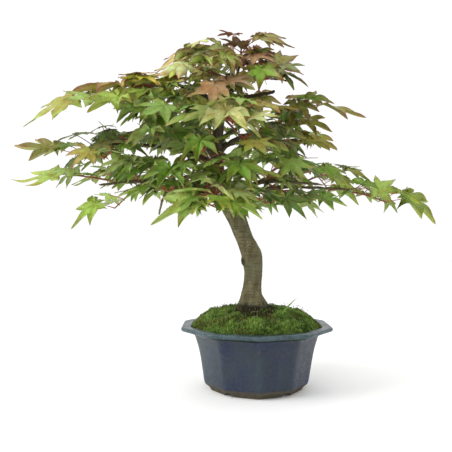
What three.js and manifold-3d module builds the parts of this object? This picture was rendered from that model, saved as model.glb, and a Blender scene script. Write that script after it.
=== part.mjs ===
// A Japanese maple grown as a bonsai, in its ten-sided glazed pot. Millimetres, +Z up.
//
// The pot stands on z = 0. The plant is set out in its own frame, whose z = 0 is the pot's rim,
// so it rises and sinks with the pot. At the end everything is moved sideways together, so that
// the origin is the middle of the object's footprint.

import * as THREE from 'three'
import { mergeVertices } from 'three/addons/utils/BufferGeometryUtils.js'
import Module from 'manifold-3d'

// ---- Driving dimensions ----

const GAP = 0.35 // clearance between pieces that touch
const SLIVER = 0.03 // detail finer than this is smoothed away where solids are joined

// pot, radii measured to its corners
const POT_SIDES = 10
const POT_HEIGHT = 81
const LIP_RADIUS = 100
const LIP_THICKNESS = 5
const MOUTH_RADIUS = 87
const SHOULDER_RADIUS = 83 // where the body meets the underside of the lip
const BASE_RADIUS = 69.5 // where the body ends above the foot
const WALL = 6.5
const FLOOR = 6
const FOOT_COUNT = 5
const FOOT_RADIUS = 60.5
const FOOT_WIDTH = 12 // of the ring that the feet are cut from
const FOOT_HEIGHT = 4.5
const FOOT_GAP = 15 // width of the arch between two feet
const DRAIN_RADIUS = 11

// plastic mesh over the drain hole, and the wire that pins it
const MESH_SIDE = 32
const MESH_THICKNESS = 1.2
const MESH_PITCH = 8
const MESH_HOLE = 5
const WIRE_RADIUS = 0.7
const WIRE_REACH = 22 // from the hole's middle to the end of a bent leg

// soil and moss, heights from the rim
const MOUND_EDGE = -3
const MOUND_TOP = 19
const MOSS_THICKNESS = 7

// wood
const GROWTH = 1 // how far the limbs have spread; thickness and leaves have sizes of their own
const GIRTH = 1 // trunk thickness against the radii listed along it
const TWIG_RADIUS = 0.9
const STALK_RADIUS = 0.75
const HEEL_DEPTH = 0.5 // how far a stalk's end runs past the middle of its twig

// leaves
const BLADE_THICKNESS = 1.8 // in the middle; a blade thins to nothing at its rim
const BLADE_DROOP = 0.2 // how far a lobe's tip hangs, against its reach
const STALK_LENGTH = 24
const LEAF_SHRINK = 0.84 // a paired leaf against the leading leaf of its shoot

// ---- Solids ----

const wasm = await Module()
wasm.setup()

function solid(geometry) {
  const bare = geometry.clone()
  for (const name of ['normal', 'uv']) bare.deleteAttribute(name)
  const { attributes, index } = mergeVertices(bare, 1e-4)
  // A face that shrank to a line, as at a turned profile's ends, is left out.
  const corners = []
  for (let i = 0; i < index.count; i += 3) {
    const [a, b, c] = index.array.slice(i, i + 3)
    if (a !== b && b !== c && c !== a) corners.push(a, b, c)
  }
  return new wasm.Manifold(new wasm.Mesh({
    numProp: 3,
    vertProperties: new Float32Array(attributes.position.array),
    triVerts: new Uint32Array(corners),
  }))
}

// Joins solids. The slivers that a join leaves are smoothed away, and so are flat specks of no volume.
function joined(solids) {
  const parts = solids.reduce((whole, next) => whole.add(next)).simplify(SLIVER).decompose()
  return wasm.Manifold.compose(parts.filter(part => part.volume() > 0.001))
}

function mesh(name, body, { color, roughness, metalness = 0 }) {
  const { vertProperties, triVerts } = body.getMesh()
  const geometry = new THREE.BufferGeometry()
  geometry.setAttribute('position', new THREE.BufferAttribute(vertProperties, 3))
  geometry.setIndex(new THREE.BufferAttribute(triVerts, 1))
  const material = new THREE.MeshStandardMaterial({ color, roughness, metalness, flatShading: true })
  const result = new THREE.Mesh(geometry, material)
  result.name = name
  return result
}

// Turns a profile of [radius, height] round the upright axis. Ten sides put a corner at -Y.
function turned(profile, sides = POT_SIDES) {
  const points = profile.map(([radius, height]) => new THREE.Vector2(radius, height))
  return solid(new THREE.LatheGeometry(points, sides).rotateX(Math.PI / 2))
}

function block(width, depth, height, x, y, z) {
  return solid(new THREE.BoxGeometry(width, depth, height).translate(x, y, z))
}

// A round bar that follows a curve. radius(along) gives its radius, from 0 at the foot to 1 at the
// tip, and shape(along, angle) may swell or flatten its section.
function bar(curve, radius, sides, steps, shape = () => 1) {
  const geometry = new THREE.CylinderGeometry(1, 1, 1, sides, steps)
  const frames = curve.computeFrenetFrames(steps)
  const places = geometry.attributes.position
  const place = new THREE.Vector3()
  for (let i = 0; i < places.count; i += 1) {
    const along = places.getY(i) + 0.5
    const step = Math.round(along * steps)
    const side = frames.normals[step]
    const cross = new THREE.Vector3().crossVectors(side, frames.tangents[step])
    const [across, over] = [places.getX(i), places.getZ(i)]
    const reach = radius(along) * shape(along, Math.atan2(over, across))
    place.copy(curve.getPointAt(along))
    place.addScaledVector(side, across * reach).addScaledVector(cross, over * reach)
    places.setXYZ(i, place.x, place.y, place.z)
  }
  return solid(geometry)
}

// ---- Pot ----

const UNDERSIDE = FOOT_HEIGHT + 0.5
const BED = UNDERSIDE + FLOOR
const LIP_UNDER = POT_HEIGHT - LIP_THICKNESS
const SHOULDER_HEIGHT = LIP_UNDER - 5
const BASE_HEIGHT = 10

// The body's outline runs in a slight hollow from the foot to the shoulder.
function bodyRadius(height) {
  const up = (height - BASE_HEIGHT) / (SHOULDER_HEIGHT - BASE_HEIGHT)
  return BASE_RADIUS + (SHOULDER_RADIUS - BASE_RADIUS) * (0.72 * up + 0.28 * up * up)
}

const WALL_HEIGHTS = [0, 0.33, 0.66, 1].map(up => THREE.MathUtils.lerp(BASE_HEIGHT, SHOULDER_HEIGHT, up))
const INNER_WALL = [
  [0, BED],
  [bodyRadius(BASE_HEIGHT) - WALL - 4, BED],
  ...WALL_HEIGHTS.slice(1).map(height => [bodyRadius(height) - WALL, height]),
  [MOUTH_RADIUS - 3, LIP_UNDER],
  [MOUTH_RADIUS, POT_HEIGHT - 0.6],
]

function innerRadius(height) {
  const above = INNER_WALL.findIndex(([, top]) => top >= height && top > BED)
  const [[from, low], [to, high]] = [INNER_WALL[above - 1], INNER_WALL[above]]
  return THREE.MathUtils.mapLinear(height, low, high, from, to)
}

function pot() {
  const shell = turned([
    [0, UNDERSIDE],
    [FOOT_RADIUS - FOOT_WIDTH, UNDERSIDE],
    [FOOT_RADIUS - FOOT_WIDTH + 1, 0],
    [FOOT_RADIUS, 0],
    [FOOT_RADIUS + 1, FOOT_HEIGHT - 1],
    ...WALL_HEIGHTS.map(height => [bodyRadius(height), height]),
    [LIP_RADIUS - 7, LIP_UNDER - 1],
    [LIP_RADIUS - 1, LIP_UNDER],
    [LIP_RADIUS, LIP_UNDER + 1],
    [LIP_RADIUS, POT_HEIGHT - 1],
    [LIP_RADIUS - 1.5, POT_HEIGHT],
    [MOUTH_RADIUS + 1, POT_HEIGHT],
    ...INNER_WALL.toReversed(),
  ])
  const drain = solid(new THREE.CylinderGeometry(DRAIN_RADIUS, DRAIN_RADIUS, 4 * FLOOR, 24)
    .rotateX(Math.PI / 2).translate(0, 0, BED))
  const arches = []
  const archRadius = ((FOOT_GAP / 2) ** 2 + FOOT_HEIGHT ** 2) / (2 * FOOT_HEIGHT)
  for (let foot = 0; foot < FOOT_COUNT; foot += 1) {
    // A foot faces -Y, and the arches come halfway between two feet.
    const turn = (2 * Math.PI * (foot + 0.5)) / FOOT_COUNT
    arches.push(solid(new THREE.CylinderGeometry(archRadius, archRadius, 2 * FOOT_WIDTH, 16)
      .translate(0, -FOOT_RADIUS + FOOT_WIDTH / 2, FOOT_HEIGHT - archRadius).rotateZ(turn)))
  }
  return shell.subtract(joined([drain, ...arches]))
}

// ---- Drain mesh and its wire ----

const MESH_TOP = BED + GAP + MESH_THICKNESS
const WIRE_TOP = MESH_TOP + GAP + WIRE_RADIUS
const WIRE_LOW = UNDERSIDE - GAP - WIRE_RADIUS

function drainMesh() {
  const holes = []
  for (const x of [-1, 0, 1]) {
    for (const y of [-1, 0, 1]) {
      holes.push(block(MESH_HOLE, MESH_HOLE, 10, x * MESH_PITCH, y * MESH_PITCH, MESH_TOP))
    }
  }
  const plate = block(MESH_SIDE, MESH_SIDE, MESH_THICKNESS, 0, 0, MESH_TOP - MESH_THICKNESS / 2)
  return plate.subtract(joined(holes))
}

// One staple of wire: over the mesh, down through it on both sides, and bent out under the floor.
function drainWire() {
  const bend = 2
  const corners = [
    [-WIRE_REACH, WIRE_LOW], [-MESH_PITCH, WIRE_LOW], [-MESH_PITCH, WIRE_TOP],
    [MESH_PITCH, WIRE_TOP], [MESH_PITCH, WIRE_LOW], [WIRE_REACH, WIRE_LOW],
  ].map(([x, z]) => new THREE.Vector3(x, 0, z))
  const route = new THREE.CurvePath()
  let from = corners[0]
  corners.slice(1, -1).forEach((corner, i) => {
    const before = corner.clone().add(from.clone().sub(corner).setLength(bend))
    const after = corner.clone().add(corners[i + 2].clone().sub(corner).setLength(bend))
    route.add(new THREE.LineCurve3(from, before))
    route.add(new THREE.QuadraticBezierCurve3(before, corner, after))
    from = after
  })
  route.add(new THREE.LineCurve3(from, corners.at(-1)))
  return bar(route, () => WIRE_RADIUS, 5, 20)
}

// ---- Wood: trunk, leader and limbs ----

// A place in the plant's frame. Only the wood above the soil spreads with GROWTH.
function grown([x, y, z]) {
  return new THREE.Vector3(x * GROWTH, y * GROWTH, POT_HEIGHT + (z > MOUND_TOP ? MOUND_TOP
    + (z - MOUND_TOP) * GROWTH : z))
}

// [x, y, z from the rim, radius] from the root stub in the soil to the leader's end
const TRUNK = [
  [-1, 0, -16, 19], [-1, 0, 5, 25], [-1, 0, 14, 24.5], [-2, 0, 20, 22], [-4, 0, 28, 17],
  [-5, 1, 38, 13.4], [-4, 2, 52, 11.8], [-3, 2, 68, 11.6], [-4, 1, 80, 12.8], [-7, 0, 92, 12.2],
  [-13, -2, 107, 11.3], [-19, -4, 122, 11.2], [-25, -5, 137, 12.2], [-31, -4, 151, 13.6],
  [-40, -1, 166, 11.5], [-48, 3, 186, 9.5], [-50, 5, 226, 8], [-47, 5, 265, 6.6],
  [-35, 4, 300, 5], [-26, 1, 320, 3.6],
]

function trunk(extra = 0) {
  const curve = new THREE.CatmullRomCurve3(TRUNK.map(grown))
  const stations = TRUNK.map(place => [grown(place).z, place[3] * GIRTH])
  const radius = along => {
    const { z } = curve.getPointAt(along)
    const above = Math.max(1, stations.findIndex(([height]) => height >= z))
    const [[low, from], [high, to]] = [stations[above - 1], stations[above]]
    return THREE.MathUtils.mapLinear(THREE.MathUtils.clamp(z, low, high), low, high, from, to) + extra
  }
  // Surface roots swell the foot in five low ridges that die out up the trunk.
  const ridges = (along, angle) => {
    const rise = curve.getPointAt(along).z - POT_HEIGHT
    const foot = THREE.MathUtils.clamp(1 - (rise - 10) / 30, 0, 1)
    return 1 + 0.1 * foot * Math.cos(5 * angle + 0.6)
  }
  return bar(curve, radius, 12, 28, ridges)
}

// Each limb: its foot inside the trunk or leader, two places that bend it, and its end.
const LIMBS = [
  { path: [[-30, -3, 150], [-10, -6, 182], [40, -14, 178], [112, -26, 172]], thick: 5 },
  { path: [[-34, -4, 158], [-15, -40, 190], [30, -75, 176], [75, -90, 170]], thick: 4 },
  { path: [[-33, -3, 154], [-75, -14, 192], [-135, -30, 184], [-195, -40, 176]], thick: 5 },
  { path: [[-36, -5, 160], [-45, -50, 188], [-60, -90, 180], [-75, -120, 164]], thick: 4 },
  { path: [[-36, 0, 158], [-25, 50, 190], [0, 90, 186], [25, 135, 178]], thick: 4.5 },
  { path: [[-40, 0, 165], [-70, 45, 196], [-115, 80, 190], [-160, 110, 184]], thick: 4 },
  { path: [[-49, 4, 205], [-95, 2, 235], [-150, -8, 232], [-195, -20, 230]], thick: 4 },
  { path: [[-50, 5, 215], [-80, -40, 245], [-115, -75, 240], [-150, -95, 228]], thick: 3.5 },
  { path: [[-50, 5, 228], [-45, -55, 258], [-42, -100, 252], [-40, -140, 236]], thick: 3.5 },
  { path: [[-49, 5, 222], [-20, -5, 255], [30, -15, 250], [85, -22, 246]], thick: 4 },
  { path: [[-50, 5, 235], [-15, -45, 262], [25, -80, 250], [58, -98, 236]], thick: 3.5 },
  { path: [[-49, 5, 230], [-15, 55, 255], [35, 90, 248], [85, 120, 236]], thick: 3.5 },
  { path: [[-49, 5, 240], [-80, 55, 265], [-115, 90, 260], [-150, 115, 246]], thick: 3.5 },
  { path: [[-43, 5, 280], [-75, 0, 308], [-105, -8, 312], [-135, -14, 308]], thick: 3 },
  { path: [[-32, 3, 305], [-5, -2, 322], [20, -8, 318], [45, -14, 310]], thick: 2.6 },
  { path: [[-38, 4, 294], [-38, -35, 312], [-36, -65, 306], [-34, -92, 294]], thick: 2.6 },
  { path: [[-38, 4, 290], [-40, 45, 312], [-42, 80, 304], [-44, 112, 290]], thick: 2.6 },
  { path: [[-30, 2, 310], [-25, 0, 322], [-22, -4, 330], [-20, -9, 336]], thick: 2.6 },
]
const LIMB_END = 1.5 // radius at a limb's end

// Cut and dead ends that bear no leaves: a pruned stub high on the right, a dry twig low in front.
const STUBS = [
  { path: [[-34, 4, 296], [-12, 0, 293], [8, -5, 295], [27, -10, 300]], thick: 3.4, end: 2.8 },
  { path: [[-75, -14, 177], [-98, -46, 190], [-113, -58, 172], [-118, -60, 138]], thick: 2, end: 1.2 },
]

function limbCurve({ path }) {
  return new THREE.CubicBezierCurve3(...path.map(grown))
}

function limb(wood) {
  const end = wood.end ?? LIMB_END
  return bar(limbCurve(wood), along => THREE.MathUtils.lerp(wood.thick, end, along), 5, 5)
}

// ---- Leafy shoots ----

// A leaf's rim, point by point round the place where stalk and blade join: the turn in degrees from
// the middle lobe, and the reach against the leaf's length. Lobes and notches alternate, and at the
// back the rim runs out along the stalk to its heel.
const HALF_RIM = [
  { turn: 24, reach: 0.34 }, { turn: 48, reach: 0.9 }, { turn: 74, reach: 0.28 },
  { turn: 104, reach: 0.6 }, { turn: 160, reach: 0.05 }, { heel: 1 },
]
const RIM = [
  { turn: 0, reach: 1 }, ...HALF_RIM,
  ...HALF_RIM.toReversed().map(({ turn, reach, heel }) => ({ turn: -turn, reach, heel: -heel })),
]

// The leaf is a flat sphere of one tier: its rim is drawn out into lobes and stalk, and its two
// poles give the thickness. The heel lies a little past the node, inside the twig.
function leafSolid(pose, length, node, extra = 0) {
  const geometry = new THREE.SphereGeometry(1, RIM.length, 2)
  const places = geometry.attributes.position
  const place = new THREE.Vector3()
  const side = new THREE.Vector3().setFromMatrixColumn(pose, 0)
  const joint = new THREE.Vector3().setFromMatrixPosition(pose)
  const heel = node.clone().add(node.clone().sub(joint).setLength(HEEL_DEPTH))
  for (let i = 0; i < places.count; i += 1) {
    const height = places.getY(i)
    const round = Math.atan2(places.getZ(i), -places.getX(i)) / (2 * Math.PI)
    const rim = RIM[Math.round((round + 1) * RIM.length) % RIM.length]
    if (Math.abs(height) > 0.5) {
      place.set(0, 0, Math.sign(height) * (BLADE_THICKNESS / 2 + extra)).applyMatrix4(pose)
    } else if (rim.heel) {
      place.copy(heel).addScaledVector(side, -rim.heel * (STALK_RADIUS + extra))
    } else {
      const angle = THREE.MathUtils.degToRad(rim.turn)
      const out = length * rim.reach + extra
      const hang = BLADE_DROOP * length * rim.reach ** 2
      place.set(-Math.sin(angle) * out, Math.cos(angle) * out, -hang).applyMatrix4(pose)
    }
    places.setXYZ(i, place.x, place.y, place.z)
  }
  return solid(geometry)
}

function direction(heading, dip) {
  const [turn, fall] = [heading, dip].map(THREE.MathUtils.degToRad)
  return new THREE.Vector3(Math.cos(turn) * Math.cos(fall), Math.sin(turn) * Math.cos(fall), -Math.sin(fall))
}

// Where a blade sits and how it is turned: its middle lobe points along the heading and dips below
// the level, and its upper face leans from straight up towards `faces`.
function bladePose(at, heading, dip, faces, lean) {
  const aim = direction(heading, dip)
  const up = direction(faces, lean - 90)
  const side = new THREE.Vector3().crossVectors(aim, up).normalize()
  const face = new THREE.Vector3().crossVectors(side, aim)
  return new THREE.Matrix4().makeBasis(side, aim, face).setPosition(at)
}

// Even scatter from 0 to 1 that is the same on every run.
function scatter(seed, draw) {
  const wave = Math.sin(seed * 12.9898 + draw * 78.233) * 43758.5453
  return wave - Math.floor(wave)
}

// Each shoot by its leading leaf: where stalk and blade join, the way the middle lobe points and how
// far it dips, the side that the upper face leans to and by how much, and the leaf's length.
const [FRONT, LEFT, RIGHT] = [-90, 180, 0]
const SHOOTS = [
  // left side, from the top down
  { at: [-85, -20, 346], heading: -168, dip: 22, faces: FRONT, lean: 30, leaf: 52 },
  { at: [-126, -10, 321], heading: LEFT, dip: 2, faces: FRONT, lean: 15, leaf: 46 },
  { at: [-168, -40, 298], heading: -172, dip: 8, faces: FRONT, lean: 20, leaf: 60 },
  { at: [-222, -60, 278], heading: -167, dip: 24, faces: FRONT, lean: 35, leaf: 66 },
  { at: [-161, -80, 272], heading: -150, dip: 30, faces: FRONT, lean: 45, leaf: 44 },
  { at: [-211, -30, 242], heading: -167, dip: 12, faces: FRONT, lean: 30, leaf: 46 },
  { at: [-249, -30, 221], heading: -168, dip: 2, faces: FRONT, lean: 30, leaf: 50 },
  { at: [-197, -70, 212], heading: -120, dip: 32, faces: FRONT, lean: 40, leaf: 42 },
  { at: [-249, -40, 192], heading: -174, dip: 14, faces: FRONT, lean: 35, leaf: 52 },
  { at: [-196, -50, 152], heading: -160, dip: 46, faces: FRONT, lean: 40, leaf: 42 },
  { at: [-128, -80, 170], heading: -157, dip: 30, faces: FRONT, lean: 30, leaf: 42 },
  // front, from the top down
  { at: [-34, -60, 330], heading: -100, dip: 35, faces: FRONT, lean: 40, leaf: 44 },
  { at: [-89, -80, 312], heading: -150, dip: 32, faces: FRONT, lean: 35, leaf: 46 },
  { at: [3, -70, 307], heading: -105, dip: 62, faces: FRONT, lean: 30, leaf: 44 },
  { at: [-135, -60, 284], heading: -140, dip: 30, faces: FRONT, lean: 35, leaf: 46 },
  { at: [-51, -110, 277], heading: -94, dip: 44, faces: FRONT, lean: 30, leaf: 47 },
  { at: [0, -120, 254], heading: -6, dip: 12, faces: FRONT, lean: 35, leaf: 50 },
  { at: [-104, -120, 252], heading: -130, dip: 35, faces: FRONT, lean: 35, leaf: 46 },
  { at: [-38, -170, 231], heading: -105, dip: 30, faces: FRONT, lean: 38, leaf: 46 },
  { at: [-121, -110, 228], heading: -125, dip: 38, faces: FRONT, lean: 35, leaf: 44 },
  { at: [-65, -140, 210], heading: -97, dip: 45, faces: FRONT, lean: 30, leaf: 40 },
  { at: [-9, -150, 209], heading: -75, dip: 40, faces: FRONT, lean: 35, leaf: 44 },
  { at: [-147, -90, 198], heading: -135, dip: 35, faces: FRONT, lean: 35, leaf: 44 },
  { at: [30, -120, 194], heading: -60, dip: 38, faces: FRONT, lean: 35, leaf: 44 },
  { at: [-25, -150, 184], heading: -85, dip: 45, faces: FRONT, lean: 35, leaf: 42 },
  { at: [-97, -130, 182], heading: -110, dip: 42, faces: FRONT, lean: 35, leaf: 44 },
  { at: [-32, -120, 162], heading: -20, dip: 30, faces: FRONT, lean: 40, leaf: 40 },
  { at: [-27, -110, 149], heading: -10, dip: 12, faces: FRONT, lean: 60, leaf: 32 },
  { at: [-73, -130, 149], heading: -166, dip: 30, faces: FRONT, lean: 46, leaf: 52 },
  { at: [29, -90, 155], heading: -20, dip: 40, faces: FRONT, lean: 60, leaf: 34 },
  // right side, from the top down
  { at: [4, -20, 366], heading: -20, dip: 16, faces: FRONT, lean: 40, leaf: 48 },
  { at: [22, -30, 335], heading: -15, dip: 34, faces: FRONT, lean: 35, leaf: 46 },
  { at: [83, -20, 280], heading: RIGHT, dip: 14, faces: FRONT, lean: 12, leaf: 58 },
  { at: [66, 10, 265], heading: -7, dip: 18, faces: FRONT, lean: 30, leaf: 44 },
  { at: [57, -70, 223], heading: -12, dip: 22, faces: FRONT, lean: 35, leaf: 46 },
  { at: [120, 0, 200], heading: -5, dip: 24, faces: FRONT, lean: 30, leaf: 42 },
  { at: [81, -50, 195], heading: -17, dip: 30, faces: FRONT, lean: 40, leaf: 44 },
  { at: [149, -30, 175], heading: -10, dip: 12, faces: FRONT, lean: 65, leaf: 40 },
  { at: [185, -30, 160], heading: -8, dip: 30, faces: FRONT, lean: 40, leaf: 48 },
  { at: [75, -60, 158], heading: -8, dip: 16, faces: FRONT, lean: 50, leaf: 40 },
  // back, from the left round to the right, low shoots first
  { at: [-225, 70, 205], heading: 165, dip: 22, faces: 150, lean: 20, leaf: 50 },
  { at: [-175, 140, 190], heading: 140, dip: 25, faces: 140, lean: 20, leaf: 48 },
  { at: [-95, 170, 182], heading: 115, dip: 28, faces: 115, lean: 20, leaf: 48 },
  { at: [-15, 185, 175], heading: 85, dip: 28, faces: 85, lean: 20, leaf: 46 },
  { at: [75, 160, 178], heading: 60, dip: 28, faces: 60, lean: 20, leaf: 48 },
  { at: [135, 110, 185], heading: 35, dip: 28, faces: 35, lean: 20, leaf: 48 },
  { at: [-160, 95, 262], heading: 145, dip: 22, faces: 140, lean: 20, leaf: 48 },
  { at: [-85, 165, 248], heading: 110, dip: 24, faces: 110, lean: 20, leaf: 48 },
  { at: [20, 165, 245], heading: 75, dip: 24, faces: 75, lean: 20, leaf: 46 },
  { at: [90, 95, 262], heading: 40, dip: 22, faces: 40, lean: 20, leaf: 46 },
  { at: [-95, 75, 318], heading: 130, dip: 20, faces: 130, lean: 20, leaf: 46 },
  { at: [0, 90, 308], heading: 60, dip: 24, faces: 60, lean: 20, leaf: 44 },
]

// Leaves come in pairs, one to each side: one pair close behind the leading leaf, and on every
// second shoot an older pair halfway along the twig.
const PAIRS = [0.88, 0.45] // places along the twig
const TRIES = 160

// Everything placed so far, so that no leaf, stalk or twig is grown through another piece. Leaves of
// one shoot meet at its twig, so between themselves only their blades have to be clear.
const placed = []

function apart(body, other) {
  const [a, b] = [body, other].map(each => each.boundingBox())
  if ([0, 1, 2].some(i => a.min[i] > b.max[i] || a.max[i] < b.min[i])) return true
  return body.intersect(other).isEmpty()
}

function isClear(body, shoot, blade = null) {
  return placed.every(other => {
    if (other.shoot !== shoot) return apart(body, other.body)
    return !blade || !other.blade || apart(blade, other.blade)
  })
}

function put(body, shoot, blade = null) {
  placed.push({ body, shoot, blade })
  return body
}

// Goes through the ways to grow a piece, from the plainest to the most bent, until one is clear.
function firstClear(name, ways) {
  for (let n = 0; n < TRIES; n += 1) {
    const found = ways(n)
    if (found) return found
  }
  throw new Error(`no room to grow ${name}`)
}

// How far a try strays from the plain way, between -1 and 1; later tries may stray further.
function stray(seed, n, draw) {
  return (2 * scatter(seed, 5 * n + draw) - 1) * Math.min(1, n / 24)
}

// A leaf: a stalk from its node on the twig and the blade at the stalk's end. A leading leaf's blade
// sits at plan.at and its node follows from it; a paired leaf's node lies along the twig's curve.
function leaf(shoot, seed, plan) {
  return firstClear(`leaf ${seed}`, n => {
    const room = plan.at ? 0.45 : 1
    const heading = plan.heading + 75 * room * stray(seed, n, 0)
    const dip = plan.dip + 40 * room * stray(seed, n, 1)
    const rise = plan.rise + 35 * stray(seed, n, 2)
    const stalk = direction(heading, -rise).multiplyScalar(plan.stalk * (1 + 0.4 * stray(seed, n, 3)))
    const along = Math.min(0.95, plan.along + 0.35 * stray(seed, n, 4))
    const node = plan.at ? plan.at.clone().sub(stalk) : plan.curve.getPoint(along)
    const at = node.clone().add(stalk)
    const length = plan.length * (1 - 0.4 * n / TRIES)
    const pose = bladePose(at, heading, dip, plan.faces, plan.lean)
    if (!isClear(leafSolid(pose, length, node, GAP), shoot, leafSolid(pose, length, at, GAP))) return null
    return { node, body: put(leafSolid(pose, length, node), shoot, leafSolid(pose, length, at)) }
  })
}

// Where a shoot may leave the wood: the places along the limbs, the nearest first to a point that
// lies short of its node.
function budsFor(node, heading) {
  const goal = node.clone().addScaledVector(direction(heading, 10), -42)
  const buds = LIMBS.flatMap(wood => {
    const curve = limbCurve(wood)
    return [0.3, 0.4, 0.5, 0.6, 0.7, 0.8, 0.9, 1].map(t => {
      const at = curve.getPoint(t)
      const thick = THREE.MathUtils.lerp(wood.thick, LIMB_END, t)
      return { at, thick, tangent: curve.getTangent(t), distance: at.distanceTo(goal) }
    })
  })
  return buds.sort((a, b) => a.distance - b.distance)
}

// The twig leaves its limb at the side, a gap clear of the bark, and bends up a little on its way.
function twig(shoot, node, heading) {
  const buds = budsFor(node, heading)
  return firstClear(`twig ${shoot}`, n => {
    const bud = buds[Math.floor(n / 12)]
    const away = node.clone().sub(bud.at)
    away.addScaledVector(bud.tangent, -away.dot(bud.tangent))
    away.setLength(bud.thick + 1.3 * TWIG_RADIUS + GAP)
    const foot = bud.at.clone().add(away)
    const span = foot.distanceTo(node)
    const bow = foot.clone().lerp(node, 0.5)
    bow.x += span * 0.5 * stray(shoot, n, 0)
    bow.y += span * 0.5 * stray(shoot, n, 1)
    bow.z += span * (0.1 + 0.4 * stray(shoot, n, 2))
    const curve = new THREE.QuadraticBezierCurve3(foot, bow, node)
    const body = bar(curve, along => TWIG_RADIUS * (1.3 - 0.5 * along), 4, 3)
    return isClear(body, shoot) ? { curve, body: put(body, shoot) } : null
  })
}

function leadingLeaf(shoot, plan) {
  return leaf(shoot, shoot + 1, {
    ...plan, at: grown(plan.at), length: plan.leaf, rise: 12, stalk: STALK_LENGTH,
  })
}

function pairedLeaves(shoot, plan, { curve }) {
  const start = curve.getPoint(0)
  const run = curve.getPoint(1).sub(start)
  const ahead = THREE.MathUtils.radToDeg(Math.atan2(run.y, run.x))
  return PAIRS.slice(0, 2 - shoot % 2).flatMap((along, pair) => [-1, 1].map(side => {
    const seed = 100 + shoot * 10 + pair * 2 + (side + 1) / 2
    const draw = k => scatter(seed, -1 - k)
    return leaf(shoot, seed, {
      curve,
      along: along + 0.03 * side, // not quite opposite
      heading: ahead + side * (54 + 14 * pair + 20 * draw(0)),
      dip: 8 + 26 * draw(1),
      rise: 6 + 20 * draw(2),
      stalk: STALK_LENGTH * (0.7 + 0.5 * draw(3)),
      faces: plan.faces,
      lean: plan.lean * (0.1 + 0.7 * draw(4)), // paired leaves lie flatter than the leading one
      length: plan.leaf * LEAF_SHRINK * (0.8 + 0.35 * draw(5)),
    })
  }))
}

function leafyShoots() {
  const leads = SHOOTS.map((plan, shoot) => leadingLeaf(shoot, plan))
  const twigs = SHOOTS.map((plan, shoot) => twig(shoot, leads[shoot].node, plan.heading))
  return SHOOTS.map((plan, shoot) => {
    const pairs = pairedLeaves(shoot, plan, twigs[shoot])
    return joined([twigs[shoot].body, leads[shoot].body, ...pairs.map(({ body }) => body)])
  })
}

// ---- Soil, moss and grass ----

function moundHeight(radius, below = 0) {
  const out = Math.min(1, radius / MOUTH_RADIUS)
  return POT_HEIGHT + MOUND_EDGE + (MOUND_TOP - MOUND_EDGE) * (1 - out ** 4) - below
}

const MOUND_RADII = [0.92, 0.8, 0.62, 0.42, 0.22].map(share => share * MOUTH_RADIUS)
const SOIL_RADII = MOUND_RADII.slice(1) // the soil's top ends lower, where the pot is narrower
const MOSS_EDGE = POT_HEIGHT + MOUND_EDGE
const SOIL_EDGE = MOSS_EDGE - MOSS_THICKNESS

// A point of the soil or moss that lies a gap clear of the pot's wall.
function byWall(height) {
  return [innerRadius(height) - GAP, height]
}

function soil() {
  const bends = INNER_WALL.map(([, height]) => height).filter(height => height > BED && height < SOIL_EDGE)
  const fill = turned([
    [0, BED + GAP],
    [INNER_WALL[1][0] - GAP, BED + GAP],
    ...bends.map(byWall),
    byWall(SOIL_EDGE),
    ...SOIL_RADII.map(radius => [radius, moundHeight(radius, MOSS_THICKNESS)]),
    [0, moundHeight(0, MOSS_THICKNESS)],
  ])
  const meshRoom = block(MESH_SIDE + 2 * GAP, MESH_SIDE + 2 * GAP, 2 * (MESH_THICKNESS + 2 * GAP),
    0, 0, BED)
  const wireRoom = block(2 * (MESH_PITCH + WIRE_RADIUS + GAP), 2 * (WIRE_RADIUS + GAP),
    2 * (WIRE_TOP + WIRE_RADIUS + GAP - BED), 0, 0, BED)
  return fill.subtract(joined([meshRoom, wireRoom, trunk(GAP)]))
}

function moss() {
  const under = MOSS_THICKNESS - GAP
  const cover = turned([
    [0, moundHeight(0, under)],
    ...SOIL_RADII.toReversed().map(radius => [radius, moundHeight(radius, under)]),
    byWall(SOIL_EDGE + GAP),
    byWall(MOSS_EDGE - 2),
    byWall(MOSS_EDGE),
    ...MOUND_RADII.map(radius => [radius, moundHeight(radius)]),
    [0, moundHeight(0)],
  ])
  return cover.subtract(trunk(GAP))
}

// One blade of grass that has seeded itself in the moss.
const GRASS = { foot: [28, -42], tip: [50, -46], rise: 23, radius: 1.4 }

function grassBlade() {
  const [[x, y], [endX, endY]] = [GRASS.foot, GRASS.tip]
  const ground = moundHeight(Math.hypot(x, y)) + GAP + 0.3
  const curve = new THREE.QuadraticBezierCurve3(
    new THREE.Vector3(x, y, ground),
    new THREE.Vector3(x + 8, y, ground + 0.45 * GRASS.rise),
    new THREE.Vector3(endX, endY, ground + GRASS.rise),
  )
  const flat = (along, angle) => (Math.abs(Math.cos(angle)) > 0.5 ? 1 : 0.4)
  return bar(curve, along => GRASS.radius * (1 - 0.85 * along), 4, 8, flat)
}

// ---- The whole object ----

const BARK = { color: 0x6e644b, roughness: 0.85 }
const LEAF_COLOURS = [0x4f7a2c, 0x6a8f35, 0x3e6626, 0x8fa04a, 0x7d6a48]

const wood = [trunk(), ...[...LIMBS, ...STUBS].map(piece => limb(piece))]
for (const piece of wood) put(piece, 'wood')

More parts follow.
